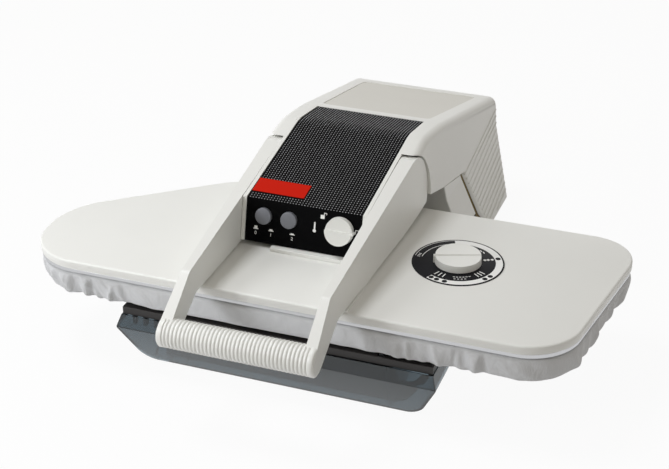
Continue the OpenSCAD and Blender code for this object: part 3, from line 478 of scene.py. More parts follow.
def eased_edges(item, width, angle):
    """Adds the modifier that rounds the edges which turn by more than angle degrees."""
    rounding = item.modifiers.new("eased edges", "BEVEL")
    rounding.width = width * MM
    rounding.segments = 3
    rounding.limit_method = "ANGLE"
    rounding.angle_limit = math.radians(angle)
    return rounding


def softened(item, name):
    """Adds the modifier that rounds a skin between its points."""
    smooth = item.modifiers.new(name, "SUBSURF")
    smooth.levels = smooth.render_levels = 1


def piece(bm, name, at, body, finish, replaces=(), bevel=0, angle=32, merge=0.0005):
    """Puts a finished form in its place as a piece of the station."""
    if merge:
        bmesh.ops.remove_doubles(bm, verts=bm.verts[:], dist=merge)
    bmesh.ops.transform(bm, matrix=TO_ROW @ at, verts=bm.verts[:])
    bmesh.ops.recalc_face_normals(bm, faces=bm.faces[:])
    made = as_object(bm, name)
    mesh = made.data
    mesh.polygons.foreach_set("use_smooth", [True] * len(mesh.polygons))
    mesh.set_sharp_from_angle(angle=math.radians(angle))
    mesh.materials.append(MATERIALS[finish])
    if bevel:
        eased_edges(made, bevel, angle).harden_normals = True
    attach(made, body)
    if replaces:
        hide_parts(*replaces)
    return made


# The plate's outline


def meeting(n, c, m, d):
    """Where two lines meet, each given by its normal and its distance from the origin."""
    cross = n.x * m.y - n.y * m.x
    return (c * m.y - d * n.y) / cross, (n.x * d - m.x * c) / cross


def outline_lines():
    """The straight sides of the plate: outward normal, and distance from the origin."""
    lines = []
    for (ax, ay, ar), (bx, by, br) in zip(PLATE_CIRCLES, PLATE_CIRCLES[1:] + PLATE_CIRCLES[:1]):
        run = Vector((bx - ax, by - ay))
        share = (ar - br) / run.length
        run.normalize()
        normal = run * share + Vector((run.y, -run.x)) * math.sqrt(1 - share * share)
        lines.append((normal, normal.dot(Vector((ax, ay))) + ar))
    return lines


def outline_corners(inset=0):
    """The plate's corners with their radii, moved in by inset."""
    lines = outline_lines()
    corners = []
    for i, circle in enumerate(PLATE_CIRCLES):
        (n, c), (m, d) = lines[i - 1], lines[i]
        corners.append((*meeting(n, c - inset, m, d - inset), circle[2] - inset))
    return corners


def outline_points(step):
    """Points step millimetres apart along the plate's outline, with their outward directions."""
    lines = outline_lines()
    found = []
    for i, (x, y, r) in enumerate(PLATE_CIRCLES):
        centre = Vector((x, y))
        before, after = lines[i - 1][0], lines[i][0]
        turn = -before.angle_signed(after)
        count = max(2, round(abs(turn) * r / step))
        for k in range(count):
            n = Matrix.Rotation(turn * k / count, 2) @ before
            found.append((centre + n * r, n))
        nx, ny, nr = PLATE_CIRCLES[(i + 1) % len(PLATE_CIRCLES)]
        start, end = centre + after * r, Vector((nx, ny)) + after * nr
        count = max(1, round((end - start).length / step))
        found += [(start.lerp(end, k / count), after) for k in range(count)]
    return found


def loft(rings):
    """A skin through rings of points, joined where points of a ring meet."""
    bm = bmesh.new()
    rows = [[bm.verts.new(point) for point in ring] for ring in rings]
    for low, high in zip(rows, rows[1:]):
        for i in range(len(low)):
            j = (i + 1) % len(low)
            bm.faces.new((low[i], low[j], high[j], high[i]))
    bmesh.ops.remove_doubles(bm, verts=bm.verts[:], dist=0.01)
    return bm


def towards_spine(point, share):
    """A point moved by a share of the way to the board's middle line, at whole centimetres of it."""
    x = 10 * round(max(-190, min(200, point.x)) / 10)
    return point.lerp(Vector((x, PLATE_DEPTH * 0.5)), share)


# How strongly the cloth is gathered along the front edge, by the place x
GATHERED = (
    (-330, 0.8), (-290, 1.0), (-208, 1.0), (-190, 0.5), (-150, 0.2), (20, 0.12), (70, 0.4),
    (100, 0.9), (210, 0.9), (235, 0.35), (275, 0.35), (300, 0.7), (330, 0.7),
)


def gather(point):
    """How strongly the cloth is gathered at a point of the outline."""
    if point.y > 0.8 * PLATE_DEPTH:
        return 0.45
    for (x0, s0), (x1, s1) in zip(GATHERED, GATHERED[1:]):
        if point.x <= x1:
            return s0 + (s1 - s0) * max(0, (point.x - x0) / (x1 - x0))
    return 1


# The cover's section: how far in from the outline, how high, and how freely it folds
SKIRT = (
    (14, 106.5, 0), (7, 106.5, 0), (3.4, 106.1, 0.05), (1.2, 104.8, 0.16), (0.3, 102.6, 0.36),
    (0, 100.2, 0.56), (0, 97.4, 0.74), (0, 94.2, 0.88), (0, 90.8, 0.96), (0.2, 87.4, 1),
    (0.8, 84, 0.98), (1.8, 81, 0.88), (3.6, 78.8, 0.7), (7, 77.8, 0.45), (12, 78.6, 0.3), (19, 80.6, 0.15),
)
# The pad's section: how far in from the outline, and how high
PAD_TOP = 104.9
PAD_LOW = 92.1
PAD = (
    (24, PAD_LOW), (9, PAD_LOW), (6.2, 92.6), (5, 94.5), (4.4, 97.5), (4.6, 101), (6.4, 103.6),
    (10, 104.7), (18, PAD_TOP),
)


class IRONING_OT_board(bpy.types.Operator):
    """Make the board's foam pad, its steel sheet and its fitted cotton cover"""

    bl_idname = "ironing.board"
    bl_label = "Board pad and cover"

    def execute(self, context):
        cover = self.cover(context.scene.press_sizes.fold / MM)
        steel = block(outline_corners(9), BOARD_LOW, BOARD_TOP - 0.1, steps=16)
        piece(steel, "board_panel_sheet", TABLE, "base", "steel", replaces=["board_panel"], bevel=1)
        self.pad()
        return {"FINISHED"}

    def creases(self, points):
        """Creases along the outline: place, width, slant, push, and the freedom at which each starts."""
        draw = random.Random(4)
        found = []
        place = 0.0
        while place < len(points):
            strength = gather(points[int(place)][0])
            width = (draw.uniform(1.9, 4.4) + (1 - strength) * draw.uniform(4, 14)) / CLOTH_STEP
            slant = draw.uniform(-1.0, 3.0) * draw.choice((0.3, 1))
            push = strength * draw.uniform(0.4, 1.0) * draw.choice((1, 1, -0.8))
            found.append((place, width, slant, push, draw.uniform(0, 0.3)))
            place += width * draw.uniform(1.2, 2.6)
        return found

    def push(self, creases, i, total, down, freedom):
        """How far the creases push point i out, as a share of the deepest fold."""
        pushed = 0
        for spot, width, slant, strength, start in creases:
            apart = abs((i - spot - slant * down * 0.4 + total / 2) % total - total / 2)
            if apart < 3 * width:
                grown = max(0, freedom - start) / (1 - start)
                pushed += strength * grown * math.exp(-((apart / width) ** 1.5))
        return max(-0.35, min(0.85, pushed))

    def cover(self, depth):
        """The cotton cover, stretched over the top and gathered round the edge."""
        points = outline_points(CLOTH_STEP)
        creases = self.creases(points)
        rows = []
        for inset, height, freedom in SKIRT:
            row = []
            down = (CLOTH_TOP - height) / CLOTH_STEP
            for i, (point, out) in enumerate(points):
                push = self.push(creases, i, len(points), down, freedom)
                hem = math.sin(i * 0.27) + math.sin(i * 0.143 + 1) + math.sin(i * 0.071 + 2)
                sway = 0.3 * gather(point) * hem * down * CLOTH_STEP / SKIRT_DROP
                # At the plate's nose the skirt falls inwards
                nose = 5 * max(0, min(1, (-225 - point.x) / 60)) * down * CLOTH_STEP / SKIRT_DROP
                moved = point - out * (inset + 1.4 * freedom + nose - depth * push)
                row.append((moved.x, moved.y, height + sway))
            rows.append(row)
        rows.reverse()
        inner = [Vector((x, y)) for x, y, z in rows[-1]]
        for share in (0.2, 0.42, 0.65, 0.84, 1):
            moved = [towards_spine(p, share) for p in inner]
            rows.append([(p.x, p.y, CLOTH_TOP - 0.1 + 0.05 * math.sin(p.x / 17)) for p in moved])
        name, stands_for = "board_cover_cloth", ["board_cover"]
        cover = piece(loft(rows), name, TABLE, "base", "cloth", replaces=stands_for, angle=80, merge=0)
        wall = cover.modifiers.new("cloth thickness", "SOLIDIFY")
        wall.thickness = 0.6 * MM
        wall.offset = -1
        softened(cover, "soft folds")
        return cover

    def pad(self):
        """The foam pad with its rounded rim."""
        rings = [[(*(p - n * inset), z) for p, n in outline_points(7)] for inset, z in PAD]
        inner = [Vector(p[:2]) for p in rings[-1]]
        under = [Vector(p[:2]) for p in rings[0]]
        for share in (0.3, 0.65, 1):
            rings.append([(*towards_spine(p, share), PAD_TOP) for p in inner])
            rings.insert(0, [(*towards_spine(p, share), PAD_LOW) for p in under])
        pad = piece(loft(rings), "board_foam_pad", TABLE, "base", "foam", replaces=["board_pad"], angle=80)
        softened(pad, "foam rounding")
        return pad


class IRONING_OT_plate(bpy.types.Operator):
    """Make the heated plate's cover, its rails and the lip under the panel"""

    bl_idname = "ironing.plate"
    bl_label = "Heated plate"

    def execute(self, context):
        slab = block(outline_corners(), -PLATE_COVER, 0, steps=16)
        ease(slab, 2.4, lambda e: all(v.co.z > -0.01 for v in e.verts), 5, 60)
        ease(slab, 1.0, lambda e: all(v.co.z < 0.01 - PLATE_COVER for v in e.verts), 2, 60)
        piece(slab, "plate_cover_shell", PLATE, "head", "cream", replaces=["plate_cover"])
        bars = [
            block(rectangle(HEAD_X + left, 1.6, HEAD_X + right, 243, 1), -0.2, 2)
            for left, right in ((-92.5, -74), (64, 89))
        ]
        rails = join(*bars)
        piece(rails, "plate_rail_bars", PLATE, "head", "cream", replaces=["plate_rails"], bevel=0.5)
        lip = block(rectangle(-35, 94, 63.9, 103, 1), 0.05, 4.4)
        piece(lip, "panel_lip", HEAD, "head", "cream", replaces=["front_lip"], bevel=0.6)
        return {"FINISHED"}


# Foot of the head's side, from the rear to the front: (place y, height)
FOOT_LINE = (REAR_FOOT, (435, -111.9), (412, -85.9), (387, -15.7), (312, 0), (255, 16), (253, 5.5))
# The same edge a seam's width further forward, by which the long edges above it are told apart
LOW_EDGE = ((255, 16), (312, 0), (383, -14.9), (408, -85.9), (431, -111.9), (600, -111.9))


def head_form(depth, fillet):
    """The head's outer form, or with a depth the room inside its walls, open below."""
    past = -5 if depth else 0
    # Each corner, its radius, and how far the side that follows it is moved in
    sides = [(FOOT, 0, depth), (BEND, 0, depth), (CREST, 70 - depth, depth), (BAND_END, 260, depth)]
    sides += [(REAR_TOP, 11, depth), *((point, 0, past) for point in FOOT_LINE)]
    points = [Vector(spot) for spot, _, _ in sides]
    corners = []
    for i, point in enumerate(points):
        one = (point - points[i - 1]).normalized()
        two = (points[(i + 1) % len(points)] - point).normalized()
        n, m = Vector((one.y, -one.x)), Vector((two.y, -two.x))
        c, d = n.dot(point) + sides[i - 1][2], m.dot(point) + sides[i][2]
        corners.append((*meeting(n, c, m, d), sides[i][1]))
    bm = block(corners, -1, 1, SIDE)
    slice_at(bm, (0, 0, FLARE_Z), (0, 0, 1))
    for vert in bm.verts:
        vert.co.x *= head_half(vert.co.z) - depth

    def long_edge(e):
        middle = (e.verts[0].co + e.verts[1].co) / 2
        lengthwise = (e.verts[0].co.x > 0) == (e.verts[1].co.x > 0)
        upper = middle.z > 52 or middle.y > 340 + depth and middle.z > rear_low(middle.y) + 3
        return lengthwise and middle.y > 112 and upper

    ease(bm, fillet, long_edge, 6, 20)
    bmesh.ops.recalc_face_normals(bm, faces=bm.faces[:])
    # Beside the narrow front stand the handle's arms, with their round ends
    wide = 170
    bm = combine(bm, mirrored(block(rectangle(40, -20, 226 + depth, 130), CORE_HALF - depth, wide, SIDE)))
    # The round end leaves the arm more room above than behind
    pivot = SIDE @ Matrix.Translation((PIVOT[0] - 0.5, PIVOT[1] + 1.3, 0))
    return combine(bm, mirrored(drum(40.5 + depth, CORE_HALF - depth, wide, pivot, 96)))


def rear_low(y):
    """Height of the head's lower edge at a place y behind the arch."""
    for (y0, z0), (y1, z1) in zip(LOW_EDGE, LOW_EDGE[1:]):
        if y <= y1:
            return z0 + (z1 - z0) * (y - y0) / (y1 - y0)
    return LOW_EDGE[-1][1]


# Heights near the crest, where the walls begin to flare and at the foot, each with half the width there
HALF_WIDTHS = ((74.5, 92), (FLARE_Z, 104.5), (-111.9, 130))


def head_half(z):
    """Half the head's width at a height: slightly wider downwards, then flared."""
    (high, upper), (low, lower) = HALF_WIDTHS[:2] if z >= FLARE_Z else HALF_WIDTHS[1:]
    return upper + (lower - upper) * (high - z) / (high - low)


def cover_shape(grown):
    """Plan of the sunk cover on the sloping top."""
    front, back = 352 - BAND_END[0] - grown, 545 - BAND_END[0] + grown
    narrow, wide = BAND_HALF + 1 + grown, BAND_HALF + 10 + grown
    return [(-narrow, front, 7), (narrow, front, 7), (wide, back, 10), (-wide, back, 10)]


def skin_corners(depth, above):
    """Side of the seat of the panel and the band, or of the room above them."""
    up = Vector((math.sin(LEAN), math.cos(LEAN)))
    out = Vector((-math.cos(LEAN), math.sin(LEAN)))
    along = Vector((math.cos(BAND_SLOPE), math.sin(BAND_SLOPE)))
    low = Vector(FOOT) - out * depth - up
    bend = Vector(BEND) - Vector((0, depth))
    share = ((bend.x - low.x) * along.y - (bend.y - low.y) * along.x) / (up.x * along.y - up.y * along.x)
    meet = low + up * share
    return [
        (*low, 0),
        (*meet, 0),
        (CREST[0], CREST[1] - depth, 70),
        (BAND_END[0], BAND_END[1] - depth, 0),
        (BAND_END[0], BAND_END[1] + above, 0),
        (CREST[0], CREST[1] + above + 4, 0),
        (BEND[0] - 4, BEND[1] + above + 4, 0),
        (*(Vector(FOOT) - up + out * above), 0),
    ]


class IRONING_OT_housing(bpy.types.Operator):
    """Make the head's housing with its ribbed rear walls and its sunk top cover"""

    bl_idname = "ironing.housing"
    bl_label = "Head housing"

    def execute(self, context):
        sizes = context.scene.press_sizes
        fillet = sizes.fillet / MM
        shell = combine(head_form(0, fillet), head_form(WALL, fillet - WALL))
        seat = block(skin_corners(SUNK + 1.2, 8), -BAND_HALF - 0.2, BAND_HALF + 0.2, SIDE)
        shell = combine(shell, seat)
        shell = combine(shell, block(cover_shape(0.2), -SUNK - 1.2, 8, HEAD.inverted() @ COVER))
        panel = HEAD.inverted() @ PANEL
        holes = [drum(r, -20, 6, panel @ at(*spot), 48) for spot, r in control_places(9.9, 5)]
        shell = combine(shell, join(*holes))
        name, stands_for = "head_housing_shell", ["head_housing"]
        piece(shell, name, HEAD, "head", "cream", replaces=stands_for, bevel=0.8, merge=0.01)
        piece(self.ribs(sizes.rib_pitch / MM), "head_wall_ribs", HEAD, "head", "cream")
        # Olive strips in the seams: painted shade for the dark gaps beside the tower
        piece(self.seam(), "head_seam_shade_strips", HEAD, "head", "seam_shade")
        lid = block(cover_shape(0.1), -SUNK - 1.2, -0.55)
        piece(lid, "top_cover_plate", COVER, "head", "pale", replaces=["top_cover"], bevel=0.35)
        return {"FINISHED"}

    def seam(self):
        """Strips of painted shade in the seams between the flared walls and the tower."""
        side = [(383.9, -17), (408.9, -86), (431, -111), (446, -111), (424, -86), (397, -17)]
        strip = block(side, 0, 1, SIDE)
        for vert in strip.verts:
            vert.co.x = head_half(vert.co.z) - (4 if vert.co.x > 0.5 else 5.5)
        return mirrored(strip)

    def ribs(self, pitch):
        """Raised lines along the flared walls, each from beside the seam to the rear edge."""
        forms = []
        slope = 20 / 148
        # Heights are taken at the place y of zero, and the last ribs start where they reach the lowest
        zero, highest, span, lowest = 400, -20, 128, -108
        # Room left beside the seam and the rear edge, and the shortest rib
        seam_gap, rear_gap, shortest = 7, 9.6, 12
        (seam_y, seam_z), (seam_foot_y, seam_foot_z) = LOW_EDGE[2], LOW_EDGE[4]
        seam_lean = (seam_foot_y - seam_y) / (seam_z - seam_foot_z)
        rear_y, rear_z = REAR_FOOT
        rear_lean = (REAR_TOP[0] - rear_y) / (REAR_TOP[1] - rear_z)
        for i in range(int(span / pitch)):
            height = highest - i * pitch
            start, end = 404, 548
            # Each end lies on a slanting edge, so it is found by repeated steps
            for _ in range(6):
                z = height + (start - zero) * slope
                start = seam_y + max(0, seam_z - z) * seam_lean + seam_gap
                z = height + (end - zero) * slope
                end = rear_y + (z - rear_z) * rear_lean - rear_gap
            if height + (start - zero) * slope < lowest:
                start = zero + (lowest - height) / slope
            if start > end - shortest:
                continue
            bm = bmesh.new()
            bmesh.ops.create_cube(bm, size=1)
            bmesh.ops.scale(bm, vec=(1, end - start, 1.0), verts=bm.verts[:])
            lengthwise = [e for e in bm.edges if abs(e.verts[0].co.y - e.verts[1].co.y) > 1]
            bmesh.ops.subdivide_edges(bm, edges=lengthwise, cuts=12, use_grid_fill=True)
            for vert in bm.verts:
                outer = vert.co.x > 0
                vert.co.y += (start + end) / 2
                sharp = max(vert.co.z, vert.co.z * (0.2 if outer else 1.6))
                vert.co.z = sharp + height + (vert.co.y - zero) * slope
                vert.co.x = head_half(vert.co.z) + (1.3 if outer else -1)
            forms.append(bm)
        return mirrored(join(*forms))


def at(x, y, turn=0):
    """A place on a flat face, turned by an angle in degrees."""
    return Matrix.Translation((x, y, 0)) @ Matrix.Rotation(math.radians(turn), 4, "Z")


def control_places(button, selector):
    """Places of the buttons and the selector on the panel, each with a radius."""
    return [*((spot, button) for spot in BUTTONS.values()), (SELECTOR, selector)]


def mark(corners, place):
    """A thin printed mark on the surface of a place."""
    return block(corners, -0.15, 0.12, place)


def digits(text, size, place):
    """Plain numbers as a thin printed mark, centred on the place."""
    curve = bpy.data.curves.new("digits", "FONT")
    curve.body = text
    curve.size = size
    curve.align_x = "CENTER"
    curve.align_y = "CENTER"
    curve.extrude = 0.1
    made = bpy.data.objects.new("digits", curve)
    bpy.context.scene.collection.objects.link(made)
    graph = bpy.context.evaluated_depsgraph_get()
    graph.update()
    outline = bpy.data.meshes.new_from_object(made.evaluated_get(graph))
    bm = bmesh.new()
    bm.from_mesh(outline)
    bpy.data.meshes.remove(outline)
    bpy.data.objects.remove(made)
    bpy.data.curves.remove(curve)
    bmesh.ops.transform(bm, matrix=place, verts=bm.verts[:])
    return bm


def arc(inner, outer, first, last):
    """A thin printed band between two radii, from one angle to another in degrees."""
    bm = bmesh.new()
    low, high = -0.2, 0.1
    ends = [bm.verts.new((r, 0, z)) for r, z in ((inner, low), (outer, low), (outer, high), (inner, high))]
    face = bm.faces.new(ends)
    bmesh.ops.rotate(bm, verts=ends, matrix=Matrix.Rotation(math.radians(first), 3, "Z"))
    bmesh.ops.spin(
        bm,
        geom=[face, *face.edges, *ends],
        angle=math.radians(last - first),
        axis=(0, 0, 1),
        steps=48,
        use_duplicate=False,
    )
    open_end = [e for e in bm.edges if len(e.link_faces) == 1]
    if open_end:
        bmesh.ops.contextual_create(bm, geom=open_end)
    return bm


# From the head's surface down to the sheets that are sunk into it
ON_SEAT = Matrix.Translation((0, 0, -SUNK))
# The badge on the band: its left, lower, right and upper edge, and the radius of its corners
BADGE = (-BAND_HALF + 0.6, 13.4, -5.6, 38, 0.8)


class IRONING_OT_front(bpy.types.Operator):
    """Make the dotted black band, the black panel with its printed signs, and the plain badge"""

    bl_idname = "ironing.front"
    bl_label = "Band and panel"

    def execute(self, context):
        self.band(context.scene.press_sizes.dot_pitch / MM)
        self.panel()
        badge = block(rectangle(*BADGE), -0.6, 0.5)
        piece(badge, "plain_badge", BAND @ ON_SEAT, "head", "badge", bevel=0.15)
        return {"FINISHED"}

    def band(self, pitch):
        """A black sheet over the crest with rows of raised dots, none of them under the badge."""
        slope = Vector((math.cos(BAND_SLOPE), math.sin(BAND_SLOPE)))
        start = Vector(BEND) + slope * 1.2
        end, thick = BAND_END[0] - 0.3, 1.2
        corners = [(*(start - Vector((0, SUNK))), 0), (CREST[0], CREST[1] - SUNK, 70)]
        corners += [(end, BAND_END[1] - SUNK + 0.05, 0), (end, BAND_END[1] - SUNK - 1.15, 0)]
        corners += [(CREST[0], CREST[1] - SUNK - thick, 71), (*(start - Vector((0, SUNK + thick))), 0)]
        sheet = block(corners, -BAND_HALF, BAND_HALF, SIDE)
        piece(sheet, "grille_band_sheet", HEAD, "head", "band", replaces=["grille_band"])
        path = flat_shape(corners[:3])
        spots = sorted((v.co.x, v.co.y) for v in path.verts)
        path.free()
        along = 1.12 * pitch
        columns = int((2 * BAND_HALF - 2) / pitch)
        places = [(i - (columns - 1) / 2) * pitch for i in range(columns)]
        # A whole row, and a row that begins beside the badge's right end
        rows = []
        for used in (places, [x for x in places if x > BADGE[2] + 1.2]):
            dots = join(*(self.dot(x, pitch) for x in used))
            mesh = bpy.data.meshes.new("row")
            dots.to_mesh(mesh)
            dots.free()
            rows.append(mesh)
        bm = bmesh.new()
        travelled = gone = 0.9
        for (y0, z0), (y1, z1) in zip(spots, spots[1:]):
            length = math.hypot(y1 - y0, z1 - z0)
            while travelled <= length:
                share = travelled / length
                before = len(bm.verts)
                bm.from_mesh(rows[BADGE[1] - 2.4 < gone < BADGE[3] + 0.5])
                bm.verts.ensure_lookup_table()
                turned = Matrix.Rotation(math.atan2(z1 - z0, y1 - y0), 4, "X")
                spot = Matrix.Translation((0, y0 + (y1 - y0) * share, z0 + (z1 - z0) * share))
                bmesh.ops.transform(bm, matrix=spot @ turned, verts=bm.verts[before:])
                travelled += along
                gone += along
            travelled -= length
        for mesh in rows:
            bpy.data.meshes.remove(mesh)
        piece(bm, "grille_dots", HEAD, "head", "dots", merge=0)

    def dot(self, x, pitch):
        """One low dome, open below where it meets the sheet."""
        bm = bmesh.new()
        rings = []
        for share, z in ((0.2, -0.15), (0.185, 0.25), (0.11, 0.45)):
            r = pitch * share
            turns = [k * math.tau / 8 for k in range(8)]
            rings.append([bm.verts.new((x + r * math.cos(a), r * math.sin(a), z)) for a in turns])
        for low, high in zip(rings, rings[1:]):
            for k in range(8):
                bm.faces.new((low[k], low[k - 7], high[k - 7], high[k]))
        bm.faces.new(rings[-1])
        return bm

    def panel(self):
        """The glossy panel and its small white signs."""
        sheet = block(rectangle(-BAND_HALF, 0, BAND_HALF, PANEL_LENGTH - 0.8, 0.6), -SUNK - 1.2, -SUNK)
        for spot, r in control_places(9.75, 4):
            sheet = combine(sheet, drum(r, -6, 4, at(*spot), 64))
        piece(sheet, "control_panel_sheet", PANEL, "head", "black", replaces=["control_panel"], bevel=0.2)
        # Under the buttons: a line with a cap that stands more or less high, and a number
        signs = []
        for x, raised, number in ((-55, 3, "0"), (-37, 1.6, "1"), (-12, 1, "2")):
            cap = [(-2, 0.9), (2, 0.9), (1.7, 0.9 + raised), (-1.7, 0.9 + raised)]
            signs += [mark(rectangle(-3, 0, 3, 0.9), at(x, 14.6)), mark(cap, at(x, 14.6))]
            signs.append(digits(number, 5.2, at(x, 10.2)))
        # Beside the selector: a thermometer, an open lock and a hook
        signs.append(mark(rectangle(-0.9, 0, 0.9, 8.4, 0.85), at(13.4, 25.6)))
        signs.append(drum(1.9, -0.15, 0.12, at(13.4, 24), 24))
        lock = ((-2.3, 0, 2.3, 4.2, 0.5), (1.3, 4, 2.1, 6.6), (1.3, 6.2, 4.8, 7.0), (4.1, 4.8, 4.8, 6.6))
        hook = ((-2.2, 0, -1.5, 4.6), (-2.2, 3.9, 2, 4.6), (1.3, 2, 2, 4.6))
        for bars, spot in ((lock, (21.8, 39)), (hook, (62.3, 28))):
            signs += [mark(rectangle(*bar), at(*spot)) for bar in bars]
        piece(join(*signs), "panel_signs", PANEL @ ON_SEAT, "head", "print")


def knob(radius, height, step, nib, step_side):
    """A round knob with half of its top a step lower and a nib at one end of the step."""
    bm = drum(radius, 0, height, None, 96, radius - 0.6)
    pointer = block(rectangle(radius - 4, -1.4, radius + nib, 1.4, 0.8), 0, height)
    bm = combine(bm, pointer, "UNION")
    far = radius + nib + 3
    low, high = (1.3, far) if step_side > 0 else (-far, 0)
    return combine(bm, block(rectangle(-far, low, far, high), height - step, height + 5))


class IRONING_OT_controls(bpy.types.Operator):
    """Make the two push buttons, the selector, the thermostat knob and its printed disc"""

    bl_idname = "ironing.controls"
    bl_label = "Controls"

    def execute(self, context):
        for side, spot in BUTTONS.items():
            name = "button_" + side
            cap = drum(9.5, -8, 2.6, None, 64, 9.3)
            ease(cap, 0.7, lambda e: e.verts[0].co.z > 0 and e.verts[1].co.z > 0, 3, 40)
            piece(cap, name + "_cap", PANEL @ at(*spot), name, "button_grey", replaces=[name])
        cap = knob(radius=15.8, height=9, step=3, nib=1.5, step_side=1)
        place = PANEL @ Matrix.Translation((*SELECTOR, 0.6 - SUNK))
        piece(cap, "selector_cap", place, "selector", "cream", replaces=["selector_knob"], bevel=0.5)
        cap = knob(radius=25.5, height=9.2, step=1.2, nib=1.5, step_side=-1)
        bmesh.ops.rotate(cap, verts=cap.verts[:], matrix=Matrix.Rotation(math.pi, 3, "Z"))
        bmesh.ops.scale(cap, vec=(1, -1, 1), verts=cap.verts[:])
        place = PLATE @ Matrix.Translation((*DIAL, 1)) @ at(0, 0, 20)
        piece(cap, "dial_cap", place, "dial", "cream", replaces=["dial_knob"], bevel=0.8)
        self.disc()
        return {"FINISHED"}

    def disc(self):
        """The black disc with its white scale, printed dots and short marks."""
        plate = drum(50.5, 0, 0.6, None, 128)
        ease(plate, 0.2, None, 2, 60)
        piece(plate, "dial_plate", PLATE @ at(*DIAL), "head", "disc", replaces=["dial_disc"])
        white = [arc(41, 48.6, -118, 110), arc(47.9, 48.6, 110, 181), arc(40.2, 40.9, 122, 181)]
        # Each kind of mark: its corners, the angles and radii it stands at, and how it is turned there
        bars = (
            ((-1.5, -1.6, 1.5, 1.6, 0.6), (28,), (29.8, 33.6, 38), 30),
            ((-2, -0.6, 2, 0.6), (62, 55), (36.5,), 70),
            ((-0.5, -1.1, 0.5, 1.1), range(-82, -50, 6), (32.5,), 0),
            ((-0.5, -1, 0.5, 1), range(-80, -56, 6), (36.6,), 0),
            ((-4.4, -0.55, 3.2, 0.55), (-24, -31, -38, -101, -109, -117), (34.2,), 0),
            ((-1.6, -0.45, 1.6, 0.45), (174, 178, 182), (44.4,), 0),
        )
        for bar, angles, radii, turn in bars:
            for angle in angles:
                white += [mark(rectangle(*bar), at(0, 0, angle) @ at(r, 0, turn)) for r in radii]
        piece(join(*white), "dial_scale", DISC, "head", "print")
        angles = (29, -24, -34.5, -93, -105, -114)
        black = [drum(2.9, 0, 0.16, at(0, 0, angle) @ at(44.7, 0), 32) for angle in angles]
        piece(join(*black), "dial_dots", DISC, "head", "disc")


def arm_outside(y, z):
    """How far out an arm's outer side lies: further near the pivot, and further near its lower edge."""
    front, rear = -30, 220
    share = max(0, min(1, (y - front) / (rear - front)))
    # Height of the arm's upper edge, and how far down from it the place lies as a share of the arm
    top = 34 + 0.149 * (y - front)
    fall = max(-0.1, min(1.2, (top - z) / (top - 3)))
    return 82 + 7.5 * share + (3 + 4.5 * share) * fall


# Side of an arm: the round end at the pivot, the straight part and the bent end at the grip
ARM = (
    (263.6, 77.75, 38.6), (263.6, 18.2, 38.6), (253.7, 7.2, 3), (170, 3, 60), (-17, 2.6, 10),
    (-64.6, -24.1, 0), (-75, -28.5, 10), (-89.5, -22, 10), (-88.5, -8, 8), (-30, 34, 9),
)
# One ring of the grip: the share of the pitch, and how far down into the groove
RING = ((0, 1), (0.1, 0.96), (0.22, 0.35), (0.36, 0.05), (0.5, 0), (0.64, 0.05), (0.78, 0.35), (0.9, 0.96))


class IRONING_OT_handle(bpy.types.Operator):
    """Make the two arms and the ribbed grip"""

    bl_idname = "ironing.handle"
    bl_label = "Handle"

    def execute(self, context):
        sizes = context.scene.press_sizes
        inside = CORE_HALF + 0.5
        for side, node in ((1, "handle_arm_right"), (-1, "handle_arm_left")):
            bm = block(ARM, 0, 1, SIDE)
            for y in (-60, -30, 0, 60, 120, 180, 220):
                slice_at(bm, (0, y, 0), (0, 1, 0))
            for vert in bm.verts:
                vert.co.x = arm_outside(vert.co.y, vert.co.z) if vert.co.x > 0.5 else inside
            ease(bm, 2.2, lambda e: min(v.co.x for v in e.verts) > inside + 2, 4, 35)
            ease(bm, 0.4, lambda e: max(v.co.x for v in e.verts) < inside + 0.1, 2, 35)
            if side < 0:
                bmesh.ops.scale(bm, vec=(-1, 1, 1), verts=bm.verts[:])
            solids = [node, "arm_liners"] if side > 0 else [node]
            name = node.replace("handle_", "") + "_shell"
            piece(bm, name, HEAD, "handle", "cream", replaces=solids, angle=40)
        self.grip(sizes.ring_pitch / MM, sizes.ring_height / MM)
        return {"FINISHED"}

    def grip(self, pitch, height):
        """A turned sleeve with round rings, closed by smooth discs."""
        half, radius = 85, 16
        rings = int((2 * half - 10) / pitch)
        start = -rings * pitch / 2
        line = [(-half, 0), (-half, radius - 1.4), (-half + 0.5, radius - 0.5), (-half + 1.4, radius)]
        line += [(start - 0.8, radius)]
        for i in range(rings):
            x = start + i * pitch
            line += [(x + share * pitch, radius - height * drop) for share, drop in RING]
        line += [(-x, r) for x, r in reversed(line[:5])]
        bm = bmesh.new()
        verts = [bm.verts.new((x, 0, r)) for x, r in line]
        edges = [bm.edges.new(pair) for pair in zip(verts, verts[1:])]
        bmesh.ops.spin(
            bm,
            geom=[*verts, *edges],
            angle=math.tau,
            axis=(1, 0, 0),
            steps=56,
            use_merge=True,
            use_duplicate=False,
        )
        place = HEAD @ Matrix.Translation((0, *GRIP))
        piece(bm, "grip_sleeve", place, "handle", "cream", replaces=["grip"], angle=50, merge=0.01)


def tank_form(inset, top):
    """The tank's outer form, or moved in the room inside it, up to a height."""
    floor, back = 5 + inset, 112 - inset
    side = [(15 + inset, floor), (-5 + inset, 52), (inset, top), (back, top), (back, floor)]
    face = [(160 - inset, floor, 24 - inset), (183 - inset, 52, 6), (178 - inset, top, 0)]
    face += [(-x, z, r) for x, z, r in reversed(face)]
    bm = block(side, -190, 190, SIDE)
    return combine(bm, block(face, -140, 30, FRONT), "INTERSECT")


